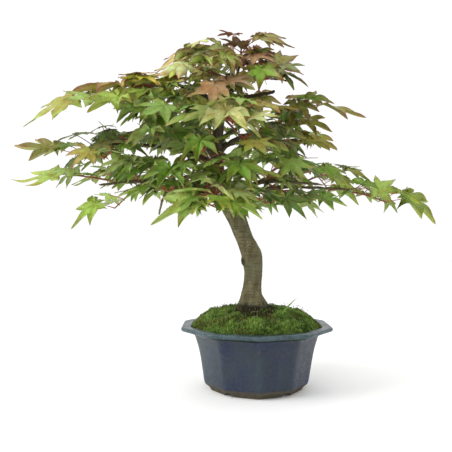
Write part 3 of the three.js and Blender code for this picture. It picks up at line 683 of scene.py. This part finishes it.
def bent(a, b, c, d, t):
    s = 1 - t
    return [s ** 3 * i + 3 * s * s * t * j + 3 * s * t * t * k + t ** 3 * m for i, j, k, m in zip(a, b, c, d)]


def root_swell(middle, turn):
    """The trunk's foot swells in five flutes, where it runs out into its roots."""
    rise = middle.z / MM - RIM_HEIGHT
    foot = max(0.0, min(1.0, 1 - (rise - 10) / 30))
    return 1 + 0.12 * foot * math.cos(5 * turn + 0.6)


def make_wood():
    rng = random.Random(3)
    points, faces = [], []

    def join(bar):
        start = len(points)
        points.extend(bar[0])
        faces.extend(tuple(start + i for i in face) for face in bar[1])

    path = smooth_path(TRUNK, 6)
    join(sweep([at(*p[:3]) for p in path], [p[3] * MM for p in path], 48, root_swell))
    for *bend, thick, end in LIMBS:
        steps = 30
        line = [at(*bent(*bend, k / steps)) for k in range(steps + 1)]
        # a limb is a little crooked, and thick where it leaves the trunk
        for k in range(1, steps):
            line[k] += Vector([rng.uniform(-0.5, 0.5) * MM for _ in "xyz"])
        radii = [(thick + (end - thick) * k / steps + 2.2 * max(0, 1 - k / 4)) * MM for k in range(steps + 1)]
        join(sweep(line, radii, 14))
    for turn, reach in ROOTS:
        root = []
        for share in (0.35, 0.6, 0.8, 1):
            out = reach * share
            root.append(at(TRUNK_FOOT[0] + out * math.cos(turn), out * math.sin(turn), 21 - 13 * share ** 2))
        join(sweep(root, [r * MM for r in (9, 7, 5, 3)], 12))
    wood = add_piece("trunk_and_limbs", points, faces, bark_finish())

    # the bars grow into one another
    remesh = wood.modifiers.new("grown together", "REMESH")
    remesh.mode, remesh.voxel_size, remesh.use_smooth_shade = "VOXEL", WOOD_GRAIN * MM, True
    smooth = wood.modifiers.new("eased", "SMOOTH")
    smooth.factor, smooth.iterations = 0.5, 4
    graph = bpy.context.evaluated_depsgraph_get()
    grown = bpy.data.meshes.new_from_object(wood.evaluated_get(graph))
    wood.modifiers.clear()
    wood.data = grown
    wood.data.name = "trunk_and_limbs"

    # wrinkles, flutes and the scar are raised in the bark
    count = len(grown.vertices)
    places, normals = np.empty(count * 3), np.empty(count * 3)
    grown.vertices.foreach_get("co", places)
    grown.vertex_normals.foreach_get("vector", normals)
    places, normals = places.reshape(-1, 3), normals.reshape(-1, 3)
    scar = np.array(at(*SCAR))
    lift = np.zeros(count)
    for i, (x, y, z) in enumerate(places / MM):
        trunk = 1.0 if z < RIM_HEIGHT + LEADER_STARTS else 0.35
        flutes = noise.noise((x / 7, y / 7, z / 55)) * 0.75
        wrinkles = noise.noise((x / 12, y / 12, z / 1.9)) * 0.22
        warts = max(0.0, noise.noise((x / 4.5, y / 4.5, z / 4.5)) - 0.25) * 0.9
        lift[i] = trunk * (flutes + wrinkles + warts)
    away = np.linalg.norm(places - scar, axis=1) / MM
    wound = np.clip(1 - away / 6.5, 0, 1)
    lift += 1.9 * np.exp(-((away - 3.6) / 2.4) ** 2) - 0.4 * np.exp(-((away / 3) ** 2))
    grown.vertices.foreach_set("co", (places + normals * (lift * MM)[:, None]).ravel())
    grown.update()
    mark_points(wood, "wound", wound)
    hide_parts("trunk")


def bark_finish():
    finish = Finish("maple_bark", 0.85, 0.15)
    tall = finish.stretched(1, 1, 0.3)
    bark = finish.mix(finish.band(finish.cloud(6, 6, tall), 0.3, 0.7), paint("5b553d"), paint("857d5f"))
    bark = finish.mix(finish.band(finish.cloud(1.5, 3), 0.46, 0.62, 0, 0.5), bark, paint("443c29"))
    bark = finish.mix(finish.band(finish.cloud(26, 3), 0.4, 0.66, 0, 0.6), bark, paint("686a50"))
    rings = finish.band(finish.cloud(3.2, 4, finish.stretched(0.2, 0.2, 2.6)), 0.48, 0.64, 0, 0.6)
    bark = finish.mix(rings, bark, paint("4c4433"))
    pale = finish.band(finish.cells(3.4), 0.05, 0.2, 0.5, 0)
    pale = finish.sum("MULTIPLY", pale, finish.band(finish.cloud(15), 0.5, 0.65))
    bark = finish.mix(pale, bark, paint("a59d80"))
    height = finish.split(finish.place, "Z")
    rim = RIM_HEIGHT * MM
    # painted shade: the wood in the crown, under the leaves, is darkened
    bark = finish.mix(finish.band(height, rim + 0.15, rim + 0.2, 0, 0.72), bark, paint("352a20"))
    # the bark is painted almost black at its foot, up to about 40 mm above the rim
    ragged = finish.sum("ADD", height, finish.sum("MULTIPLY", finish.cloud(9, 4), 0.022))
    bark = finish.mix(finish.band(ragged, rim + 0.032, rim + 0.042, 0.92, 0), bark, paint("1c1710"))
    # the scar is painted dark in its middle: darker scar wood, with painted shade of its shallow hollow
    finish.colour(finish.mix(finish.band(finish.mark("wound"), 0.1, 0.6, 0, 0.75), bark, paint("2c2418")))
    wrinkles = finish.cloud(1.6, 4, finish.stretched(0.2, 0.2, 2.4))
    grooves = finish.sum("ADD", finish.cloud(2.4, 5, tall), wrinkles)
    finish.relief(grooves, 0.7, 0.8)
    return finish.material


make_wood()


# ---- Leafy shoots ----
# Each shoot of the year is a thin red twig that bears its leaves in pairs, and one at its end, on red
# stalks. A leaf has seven long-pointed lobes with saw-toothed edges, folded along their ribs, and hangs
# at the tips. Leaves open bronze and turn through olive to green; those in the sun are pale.

RIB_TURNS = [0, 46, 100, 142]  # of the lobes on one side, in degrees from the middle one
RIB_REACHES = [1.0, 0.9, 0.6, 0.3]
NOTCH_TURNS = [22, 73, 122, 165]
NOTCH_REACHES = [0.37, 0.31, 0.2, 0.06]
LOBE_BULGES = [1.05, 1.0, 1.0, 0.6]
STEPS_IN, STEPS_OUT = 4, 17  # rows of a lobe below its notch and beyond it
DROOP = 0.2
LEAF_THICKNESS = 0.28
TEETH_TURN_RED = 0.45  # how far out from a lobe's rib its red margin begins
FRAME_BLADE = 1.8  # thickness of the frame's leaves in the middle
FRAME_POLE_SPOKES = 8  # at least so many edges meet at a frame leaf's middle
SHORTEST_BLADE = 12


def flat_lobe(which, side, rng):
    """One lobe's rows of five points, from the joint to the tip, laid flat, for a leaf of length 1."""
    turn, reach = RIB_TURNS[which] * side, RIB_REACHES[which]
    if which:
        turn += rng.uniform(-6, 6)
        reach *= rng.uniform(0.82, 1.06)
    sway = rng.uniform(-0.12, 0.12) * reach  # a lobe's tip bends to one side
    inner = (NOTCH_TURNS[which - 1] * side, NOTCH_REACHES[which - 1]) if which else (-22, NOTCH_REACHES[0])
    outer = (NOTCH_TURNS[which] * (side or 1), NOTCH_REACHES[which])
    notches = [inner, outer] if side >= 0 else [outer, inner]

    def flat(degrees, out):
        angle = math.radians(degrees)
        return np.array((-math.sin(angle) * out, math.cos(angle) * out))

    rib = flat(turn, 1)
    left = np.array((-rib[1], rib[0]))
    # notches[0] lies to the right of the rib, and notches[1] to its left
    right_notch, left_notch = (flat(*n) for n in notches)
    start = 0.92 * max(right_notch @ rib, left_notch @ rib, 0.12 * reach)
    rows = []
    for k in range(STEPS_IN + STEPS_OUT + 1):
        if k <= STEPS_IN:
            share = k / STEPS_IN
            centre, edges = rib * start * share, [right_notch * share, left_notch * share]
        else:
            t = (k - STEPS_IN) / STEPS_OUT
            bend = left * sway * t * t
            centre = rib * (start + (reach - start) * t) + bend
            edges = []
            for notch, hand in ((right_notch, -1), (left_notch, 1)):
                out, aside = notch @ rib, abs(notch @ left)
                along = out + (reach - out) * t
                shape = (1 - t) ** 0.85 * (1 + LOBE_BULGES[which] * 1.9 * t * (1 - t) ** 0.9)
                shape *= 1 - 0.5 * t ** 1.6
                tooth = (0.08 if k % 2 else -0.06) * (1 - t) ** 0.4
                width = aside * shape * (1 + tooth) if t < 1 else 0.0
                edges.append(rib * (along + 0.02 * reach * (k % 2) * (1 - t)) + left * hand * width + bend)
        right_edge, left_edge = edges
        rows.append([right_edge, (right_edge + centre) / 2, centre, (left_edge + centre) / 2, left_edge])
    return rows


def leaf_form(seed):
    """A leaf of length 1: its points on the upper side, how far each is from its rib, from the joint and
    out to the edge, its faces, and which points are its rim."""
    rng = random.Random(seed)
    sides = [(3, -1), (2, -1), (1, -1), (0, 0), (1, 1), (2, 1), (3, 1)]
    points, across, along, rim, faces = [np.zeros(2)], [0.0], [0.0], [0], []
    index = {}

    def place(point, aside, far, on_rim):
        key = (round(float(point[0]), 4), round(float(point[1]), 4))
        if key not in index:
            index[key] = len(points)
            points.append(point)
            across.append(aside)
            along.append(far)
        if on_rim and index[key] not in rim:
            rim.append(index[key])
        return index[key]

    for which, side in sides:
        rows = flat_lobe(which, side, rng)
        previous = [0] * 5
        for k, row in enumerate(rows[1:], 1):
            far = k / (STEPS_IN + STEPS_OUT)
            numbers = []
            for j, point in enumerate(row):
                outer_edge = which == 3 and ((side < 0 and j == 0) or (side > 0 and j == 4))
                edge = (j in (0, 4) and k >= STEPS_IN) or (outer_edge and k < STEPS_IN) or k == len(rows) - 1
                aside = (j - 2) / 2
                numbers.append(place(point, aside, far, edge))
            for j in range(4):
                corners = [previous[j], previous[j + 1], numbers[j + 1], numbers[j]]
                distinct = list(dict.fromkeys(corners))
                if len(distinct) > 2:
                    faces.append(distinct[::-1])
            previous = numbers
    return np.array(points), np.array(across), np.array(along), set(rim), faces


LEAF_FORMS = [leaf_form(seed) for seed in range(12)]


def leaf_shape(form, length, rng, lift):
    """The leaf's points in its own frame, bent as it grew: x across, y along the middle rib, z up.
    lift, from 0 to 1, says how far the tips are carried level instead of hanging."""
    flat, across, along, _, _ = form
    x, y = flat[:, 0] * length, flat[:, 1] * length
    out = np.hypot(flat[:, 0], flat[:, 1])
    turn = np.arctan2(flat[:, 0], flat[:, 1])
    uneven = 1 + rng.uniform(0.2, 0.7) * np.sin(rng.choice((2, 3)) * turn + rng.uniform(0, TURN))
    hang = DROOP * rng.uniform(0.8, 1.35) * (1 - 0.6 * lift) * uneven
    droop = length * (hang * out ** 1.7 - (0.06 * rng.random() + 0.14 * lift) * out ** 5)
    fold = rng.uniform(-0.05, 0.2) * length * np.abs(across) * np.sin(np.pi * np.clip(along, 0, 1)) ** 0.7
    phase = rng.uniform(0, TURN)
    ripple = 0.016 * length * np.sin(9 * along + 5 * across + phase) * np.abs(across)
    twist = rng.uniform(-0.2, 0.2) * x * y / length
    return np.stack([x, y, fold + ripple + twist - droop], axis=1)


def add_leaf(shoot, pose, length, rng, tones, lift=0.0):
    """Adds a blade to a shoot. pose holds the joint and the blade's side, aim and face, and tones its
    colour at the joint and at the tips."""
    joint, side, aim, face = pose
    form = rng.choice(LEAF_FORMS)
    local = leaf_shape(form, length, rng, lift)
    _, across, along, rim, faces = form
    edge = np.array([i in rim for i in range(len(local))])
    half = np.where(edge, 0, LEAF_THICKNESS / 2 * MM)
    basis = np.array([side, aim, face])
    start = len(shoot["points"])
    upper = np.array(joint) + (local + half[:, None] * np.array((0, 0, 1))) @ basis
    lower = np.array(joint) + (local - half[:, None] * np.array((0, 0, 1))) @ basis
    number = np.arange(len(local))
    below = number.copy()
    below[~edge] = len(local) + np.arange((~edge).sum())
    shoot["points"] += [*upper, *lower[~edge]]
    for face_points in faces:
        shoot["faces"].append([start + i for i in face_points])
        shoot["faces"].append([start + int(below[i]) for i in reversed(face_points)])
    marks = np.stack([across, along, np.zeros(len(local))], axis=1)
    shoot["leaf"] += [*marks, *(marks[~edge] + np.array((0, 0, 1)))]
    turned = np.clip((along - 0.3) / 0.7, 0, 1)[:, None] ** 1.2
    colours = tones[0] * (1 - turned) + tones[1] * turned
    shoot["tone"] += [*colours, *colours[~edge]]


def add_bar(shoot, path, radii, tone, sides=6):
    start = len(shoot["points"])
    points, faces = sweep(path, radii, sides)
    shoot["points"] += [np.array(p) for p in points]
    shoot["faces"] += [[start + i for i in face] for face in faces]
    shoot["leaf"] += [np.array((0, 0, -1))] * len(points)
    shoot["tone"] += [tone] * len(points)


def unit(vector):
    return vector / max(1e-12, np.linalg.norm(vector))


def blade_point(turn, reach, length, side, aim, face):
    """Where a drooping blade lies at a turn, in degrees from its middle rib, and a share of its length."""
    angle = math.radians(turn)
    return length * (-math.sin(angle) * reach * side + math.cos(angle) * reach * aim
                     - DROOP * reach ** 2 * face)


def frame_leaves(node):
    """Where the frame has leaves on this shoot, and the twig that bears them.

    A leaf there has two poles, above and below its joint, and a rim of points round them that every
    one of its corners is joined to. The longest point of the rim that its neighbours fit is the tip."""
    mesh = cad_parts[node].data
    number, places, ids = {}, [], []
    for vertex in mesh.vertices:
        key = tuple(round(c, 6) for c in vertex.co)
        if key not in number:
            number[key] = len(places)
            places.append(np.array(vertex.co) / MM)
        ids.append(number[key])
    beside = [set() for _ in places]
    for polygon in mesh.polygons:
        corners = [ids[i] for i in polygon.vertices]
        for a in corners:
            beside[a].update(b for b in corners if b != a)
    poles = [i for i, others in enumerate(beside) if len(others) >= FRAME_POLE_SPOKES]
    rim_shape = [(t, r) for t, r in ((0, 1), (24, 0.34), (-24, 0.34), (48, 0.9), (-48, 0.9), (74, 0.28),
                                     (-74, 0.28), (104, 0.6), (-104, 0.6))]
    leaves, used = [], set()
    for i, a in enumerate(poles):
        for b in poles[i + 1:]:
            if abs(np.linalg.norm(places[a] - places[b]) - FRAME_BLADE) > 0.06 or a in used or b in used:
                continue
            joint = (places[a] + places[b]) / 2
            normal = unit(places[a] - places[b])
            rim = [k for k in beside[a] | beside[b] if k not in (a, b)]
            corners = np.array([places[k] - joint for k in rim])
            best = None
            for corner in corners:
                face = normal if corner @ normal < 0 else -normal
                ahead = corner - (corner @ face) * face
                length = np.linalg.norm(ahead)
                if length < SHORTEST_BLADE:
                    continue
                aim = ahead / length
                side = np.cross(aim, face)
                fits = [np.linalg.norm(corners - blade_point(t, r, length, side, aim, face), axis=1).min()
                        for t, r in rim_shape]
                misfit = sum(fits) / len(fits)
                if best is None or misfit < best[0]:
                    best = (misfit, side, aim, face, length)
            if best and best[0] < 1.0:
                used |= {a, b}
                _, side, aim, face, length = best
                shape = [blade_point(t, r, length, side, aim, face)
                         for t, r in [*rim_shape, (160, 0.05), (-160, 0.05)]]
                heel = [k for k, c in zip(rim, corners) if min(np.linalg.norm(c - s) for s in shape) > 1.2]
                leaves.append({"joint": joint, "side": side, "aim": aim, "face": face, "length": length,
                               "rim": set(rim) - set(heel), "heel": heel})
    blades = used.union(*[leaf["rim"] for leaf in leaves]) if leaves else set()
    wood = np.array([p for i, p in enumerate(places) if i not in blades])
    return leaves, wood


def twig_curve(wood):
    """The twig as a bow from its foot on the limb to its end, from the points left of a frame shoot."""
    middle = wood.mean(axis=0)
    _, _, axes = np.linalg.svd(wood - middle)
    run = (wood - middle) @ axes[0]
    order = np.argsort(run)
    ends = [wood[order[:4]].mean(axis=0), wood[order[-4:]].mean(axis=0)]
    # the foot is the end that lies nearer the tree's wood
    if WOOD_TREE.find(Vector(ends[0] * MM))[2] > WOOD_TREE.find(Vector(ends[1] * MM))[2]:
        ends.reverse()
    foot, end = ends
    chord = end - foot
    shares = np.clip((wood - foot) @ chord / (chord @ chord), 0.02, 0.98)
    rest = wood - np.outer((1 - shares) ** 2, foot) - np.outer(shares ** 2, end)
    weight = 2 * shares * (1 - shares)
    bow = (rest * weight[:, None]).sum(axis=0) / (weight ** 2).sum()
    return [(1 - t) ** 2 * foot + 2 * t * (1 - t) * bow + t * t * end for t in np.linspace(0, 1, 25)]


# points along the limbs, to find a twig's foot by
WOOD_POINTS = [at(*bent(*bend, k / 20)) for *bend, _, _ in LIMBS for k in range(21)]
WOOD_TREE = KDTree(len(WOOD_POINTS))
for number, point in enumerate(WOOD_POINTS):
    WOOD_TREE.insert(point, number)
WOOD_TREE.balance()

# the bright yellow-green b3c43c is painted glow: it stands in for light shining through thin blades
LEAF_COLOURS = {
    "deep": "557a29", "green": "6d952f", "fresh": "90b347", "lime": "b3c43c", "pale": "b8c67e",
    "gold": "c2aa48", "olive": "92943f", "bronze": "96704c", "plum": "96504e", "tan": "c09a72",
    "rose": "c4826c",
}
# of each shoot: the colour of its leading leaf, the colour that leaf's tips turn, and that of older leaves
SHOOT_COLOURS = {
    1: "pale rose pale", 2: "lime gold lime", 3: "gold rose lime", 4: "olive fresh fresh",
    5: "fresh olive green", 6: "green fresh deep", 7: "olive tan green", 8: "olive tan green",
    9: "fresh lime green", 10: "fresh pale green", 11: "green fresh deep", 12: "olive plum bronze",
    13: "pale rose fresh", 14: "green plum deep", 15: "fresh lime green", 16: "bronze olive olive",
    17: "olive bronze green", 18: "green fresh deep", 19: "pale pale fresh", 20: "green pale deep",
    21: "green olive deep", 22: "olive green deep", 23: "green fresh deep", 24: "green olive deep",
    25: "green olive deep", 26: "green fresh deep", 27: "pale lime green", 28: "green green deep",
    29: "fresh pale fresh", 30: "deep green deep", 31: "olive plum plum", 32: "olive plum deep",
    33: "olive plum green", 34: "olive bronze green", 35: "olive bronze deep", 36: "olive fresh green",
    37: "green olive deep", 38: "fresh olive green", 39: "fresh lime green", 40: "green fresh deep",
    41: "green olive deep", 42: "fresh olive green", 43: "green fresh deep", 44: "green olive deep",
    45: "fresh lime green", 46: "green olive fresh", 47: "olive tan green", 48: "green olive deep",
    49: "green fresh deep", 50: "olive bronze green", 51: "olive plum olive", 52: "olive rose bronze",
}
STALK_COLOUR, TWIG_COLOUR = np.array(paint("b4634a")[:3]), np.array(paint("80503a")[:3])
taken = {}  # where blades are already, by cells of the crown
CELL = 7.0
BLADE_ROOM = 5  # between spots of two blades
PLACING_TRIES = 14
EXTRA_STALK = (12, 26)  # shortest and longest stalk of an extra leaf
EXTRA_SIZE = (0.5, 0.8)  # of an extra leaf, against the shoot's leading one
OLDER_SIZE = (0.76, 0.96)  # of an older leaf, against the frame's
STALK_RADII = (0.85, 0.6, 0.5, 0.48, 0.48, 0.5, 0.62)  # from the swollen heel to the blade's joint
TWIG_FOOT, TWIG_TAPER = 1.35, 0.6
BARE_TWIGS = 2
# how many more leaves a shoot has than the frame gives it, at most
USUAL_EXTRA = 7
EXTRA_LEAVES = {
    **dict.fromkeys((4, 7, 9, 10, 38, 39), 0),
    **dict.fromkeys((12, 14, 31, 32, 33, 34, 36, 37, 40, 45, 46, 49, 50), 3),
    **dict.fromkeys((5, 8, 11, 15, 18, 20, 23, 26), 10),
}
# the leading leaves of these stand clear of the rest
STEADY_SHOOTS = (1, 2, 3, 4, 7, 9, 10, 16, 19, 21, 28, 29, 30, 31, 33, 38, 39)
LEVEL_SHOOTS = (7, 9)  # and on these they are carried level, tips and all
HANGING_HEIGHT = 395  # the leaves above it hang over the crown


def blade_samples(joint, side, aim, face, length):
    """Nine spots spread over a blade."""
    return [joint + blade_point(turn, reach, length, side, aim, face)
            for turn, reach in ((0, 0.95), (0, 0.6), (0, 0.3), (46, 0.85), (46, 0.5), (-46, 0.85),
                                (-46, 0.5), (100, 0.55), (-100, 0.55))]


def is_free(spots):
    for spot in spots:
        cell = np.floor(spot / CELL).astype(int)
        for dx in (-1, 0, 1):
            for dy in (-1, 0, 1):
                for dz in (-1, 0, 1):
                    for other in taken.get((cell[0] + dx, cell[1] + dy, cell[2] + dz), ()):
                        if np.linalg.norm(other - spot) < BLADE_ROOM:
                            return False
    return True


def occupy(spots):
    for spot in spots:
        taken.setdefault(tuple(np.floor(spot / CELL).astype(int)), []).append(spot)


def leaf_tones(colours, rng, leading):
    """A leaf's colour at its joint and at its tips. Some leaves are veiled in grey-green, a painted sheen of
    the bright sky on them.
    """
    names = colours[:2] if leading or rng.random() < 0.3 else (colours[2], rng.choice(colours))
    shade = rng.uniform(0.85, 1.2) * np.array([rng.uniform(0.9, 1.12), 1, rng.uniform(0.8, 1.1)])
    # painted sheen: part of the leaf's colour is given over to a grey-green reflection of the sky
    sky_sheen = 0.32 * rng.random() ** 2
    return [np.array(paint(LEAF_COLOURS[name])[:3]) * shade * (1 - sky_sheen)
            + np.array(paint("a7b08f")[:3]) * sky_sheen for name in names]


def direction(heading, dip):
    return np.array((math.cos(heading) * math.cos(dip), math.sin(heading) * math.cos(dip), -math.sin(dip)))


def grow_stalk(shoot, node, joint):
    """A thin red stalk from its node on the twig to the blade's joint, sagging a little."""
    middle = (node + joint) / 2 + np.array((0, 0, 0.06 * np.linalg.norm(joint - node)))
    path = [Vector(((1 - t) ** 2 * node + 2 * t * (1 - t) * middle + t * t * joint) * MM)
            for t in np.linspace(0, 1, 7)]
    add_bar(shoot, path, [r * MM for r in STALK_RADII], STALK_COLOUR)


def in_crown(spots):
    low, high = np.array(cad_box[0]) / MM, np.array(cad_box[1]) / MM
    return all((spot > low + 2).all() and (spot < high - 1).all() for spot in spots)


def extra_leaf(shoot, curve, lead, colours, rng):
    """Tries to fit one more leaf to the twig where there is room."""
    for _ in range(PLACING_TRIES):
        share = rng.uniform(0.12, 0.92)
        node = curve[int(share * (len(curve) - 1))]
        run = curve[-1] - curve[0]
        heading = math.atan2(run[1], run[0]) + rng.uniform(-1.9, 1.9)
        rise = rng.uniform(-0.15, 0.5)
        stalk = rng.uniform(*EXTRA_STALK)
        joint = node + stalk * direction(heading, -rise)
        aim = direction(heading + rng.uniform(-0.5, 0.5), rng.uniform(0.1, 0.75))
        up = np.array((lead["face"][0] * 0.3 + rng.uniform(-0.4, 0.4),
                       lead["face"][1] * 0.3 + rng.uniform(-0.4, 0.4), 0.95))
        side = unit(np.cross(aim, up))
        face = np.cross(side, aim)
        length = lead["length"] * rng.uniform(*EXTRA_SIZE)
        spots = blade_samples(joint, side, aim, face, length)
        if is_free(spots) and in_crown(spots):
            occupy(spots)
            grow_stalk(shoot, node, joint)
            pose = [joint * MM, side, aim, face]
            add_leaf(shoot, pose, length * MM, rng, leaf_tones(colours, rng, False))
            return


def bare_twig(shoot, curve, rng):
    """A fine side twig that has dropped its leaves."""
    node = curve[rng.randrange(1, 16)]
    run = curve[-1] - curve[0]
    heading = math.atan2(run[1], run[0]) + rng.choice((-1, 1)) * rng.uniform(0.3, 1.1)
    end = node + rng.uniform(20, 38) * direction(heading, rng.uniform(-0.6, 0.2))
    middle = (node + end) / 2 + np.array((rng.uniform(-4, 4), rng.uniform(-4, 4), rng.uniform(-3, 4)))
    path = [Vector(((1 - t) ** 2 * node + 2 * t * (1 - t) * middle + t * t * end) * MM)
            for t in np.linspace(0, 1, 9)]
    if in_crown([end]):
        add_bar(shoot, path, [(0.7 - 0.035 * k) * MM for k in range(9)], TWIG_COLOUR)


def leaf_finish():
    finish = Finish("maple_leaf", 0.5, 0.25)
    tone = finish.mark("tone", "Color")
    marks = finish.mark("leaf", "Vector")
    across, along, side = (finish.split(marks, axis) for axis in "XYZ")
    distance = finish.sum("ABSOLUTE", across, 0)
    blade = finish.band(side, -0.9, -0.1)
    # patches of older and younger green in the blade
    tone = finish.mix(finish.band(finish.cloud(13, 4), 0.38, 0.66, 0, 0.55), tone,
                      finish.mix(1.0, tone, paint("e6b878"), "MULTIPLY"))
    tone = finish.mix(finish.band(finish.cloud(4, 3), 0.4, 0.7, 0, 0.3), tone,
                      finish.mix(1.0, tone, paint("a8ac80"), "MULTIPLY"))
    # side veins run forward from each rib
    phase = finish.sum("SUBTRACT", finish.sum("MULTIPLY", along, 95), finish.sum("MULTIPLY", distance, 11))
    veins = finish.band(finish.sum("SINE", phase, 0), 0.72, 1.0, 0, 0.3)
    rib = finish.band(distance, 0.02, 0.1, 0.5, 0)
    veins = finish.sum("MULTIPLY", finish.sum("MAXIMUM", veins, rib), blade)
    lit = finish.mix(veins, tone, finish.mix(0.35, tone, paint("c6d27a")))
    # red saw-teeth, widest on the young leaves at the top, and paler undersides
    young = finish.band(finish.split(finish.place, "Z"), 0.34, 0.43, 0.22, 0.85)
    margin = finish.sum("MULTIPLY", finish.band(distance, TEETH_TURN_RED, 1.0), blade)
    lit = finish.mix(finish.sum("MULTIPLY", margin, young), lit, paint("74453c"))
    tips = finish.sum("MULTIPLY", finish.band(along, 0.75, 1.0, 0, 0.3), blade)
    lit = finish.mix(tips, lit, paint("96603f"))
    lit = finish.mix(finish.band(side, 0.5, 0.9, 0, 0.45), lit, finish.mix(0.5, tone, paint("adc25a")))
    finish.colour(lit)
    finish.dull(finish.band(finish.cloud(5), 0.3, 0.7, 0.42, 0.6))
    finish.relief(veins, -0.3, 0.6)
    return finish.material


def make_shoots():
    material = leaf_finish()
    found = {}
    for number in range(1, len(SHOOT_COLOURS) + 1):
        node = f"leafy_shoot_{number:02d}"
        leaves, wood = frame_leaves(node)
        found[number] = (leaves, twig_curve(wood))
        for leaf in leaves:
            occupy(blade_samples(*(leaf[k] for k in ("joint", "side", "aim", "face", "length"))))
    for number, (leaves, curve) in found.items():
        rng = random.Random(700 + number)
        colours = SHOOT_COLOURS[number].split()
        shoot = {"points": [], "faces": [], "leaf": [], "tone": []}
        path = [Vector(p * MM) for p in curve]
        add_bar(shoot, path, [(TWIG_FOOT - TWIG_TAPER * k / 24) * MM for k in range(25)], TWIG_COLOUR, 8)
        leaves.sort(key=lambda leaf: -leaf["length"])
        for rank, leaf in enumerate(leaves):
            joint = leaf["joint"]
            node = min(curve, key=lambda p: np.linalg.norm(p - joint + 12 * leaf["aim"]))
            grow_stalk(shoot, node, joint)
            # leaves spread nearly level to the light, but no two hang quite alike
            steady = rank == 0 and number in STEADY_SHOOTS
            loose, level = (0.0, 0.0) if steady else (0.6, 0.25) if rank == 0 else (1.0, 0.8)
            if joint[2] > HANGING_HEIGHT:
                level = 0.0
            face = unit(leaf["face"] + level * np.array((0, 0, 1)))
            side = unit(np.cross(leaf["aim"], face))
            tilt = Euler([rng.gauss(0, loose * spread) for spread in (0.16, 0.28, 0.18)]).to_matrix()
            pose = [joint * MM, *(np.array(tilt) @ np.array([side, np.cross(face, side), face]))]
            pose[1] = pose[1] * (0.82 if steady else 0.94)  # leaves are longer than wide
            lift = 1 if steady and number in LEVEL_SHOOTS else 0.4 * rng.random()
            length = leaf["length"] * (1 if steady else rng.uniform(*OLDER_SIZE))
            add_leaf(shoot, pose, length * MM, rng, leaf_tones(colours, rng, rank == 0), lift)
        for _ in range(EXTRA_LEAVES.get(number, USUAL_EXTRA)):
            extra_leaf(shoot, curve, leaves[0], colours, rng)
        for _ in range(BARE_TWIGS):
            bare_twig(shoot, curve, rng)
        piece = add_piece(f"maple_shoot_{number:02d}", shoot["points"], shoot["faces"], material)
        piece.data.set_sharp_from_angle(angle=math.radians(80))  # keeps the blades' edges crisp
        mark_points(piece, "leaf", np.array(shoot["leaf"]))
        mark_points(piece, "tone", np.array(shoot["tone"]))
        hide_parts(f"leafy_shoot_{number:02d}")


make_shoots()


# ---- Floor, light and camera ----
# The bonsai stands on a plain white floor under broad soft lights, and is seen from a little above the
# pot's rim.

floor_mesh = bpy.data.meshes.new("floor")
floor_mesh.from_pydata([(-6, -6, 0), (6, -6, 0), (6, 6, 0), (-6, 6, 0)], [], [(0, 1, 2, 3)])
floor = bpy.data.objects.new("floor", floor_mesh)
bpy.context.scene.collection.objects.link(floor)
floor_finish = Finish("pale_floor", 0.9, 0.1)
floor_finish.colour(floor_finish.mix(floor_finish.cloud(300), paint("fbfbfa"), paint("fdfdfd")))
floor.data.materials.append(floor_finish.material)

world = bpy.data.worlds.new("studio")
world.use_nodes = True
world.node_tree.nodes["Background"].inputs["Color"].default_value = (1, 1, 1, 1)
world.node_tree.nodes["Background"].inputs["Strength"].default_value = 1.04
bpy.context.scene.world = world


def add_light(name, place, aim, size, power):
    light = bpy.data.lights.new(name, "AREA")
    light.size, light.energy = size, power
    lamp = bpy.data.objects.new(name, light)
    lamp.location = place
    lamp.rotation_euler = (Vector(aim) - Vector(place)).to_track_quat("-Z", "Y").to_euler()
    bpy.context.scene.collection.objects.link(lamp)


add_light("key", (-1.6, -0.7, 1.3), (0, 0, 0.2), 1.0, 28)
add_light("fill", (1.3, -1.3, 1.0), (0, 0, 0.2), 1.4, 2)
add_light("back", (0.2, 1.5, 1.6), (0, 0, 0.3), 1.2, 8)

EYE = Vector((POT_AXIS.x - 0.0386, POT_AXIS.y - 0.6765, 0.1857))
FRAME_SHIFT = 17.1 / 452  # the frame reaches a little higher above the eye than below it

camera_data = bpy.data.cameras.new("camera")
camera_data.sensor_width, camera_data.lens = 36, 41.4
camera = bpy.data.objects.new("camera", camera_data)
bpy.context.scene.collection.objects.link(camera)
camera.location = EYE
camera.rotation_euler = (math.radians(90), 0, 0)
camera_data.shift_y = FRAME_SHIFT
bpy.context.scene.camera = camera
bpy.context.scene.view_settings.view_transform = "Standard"
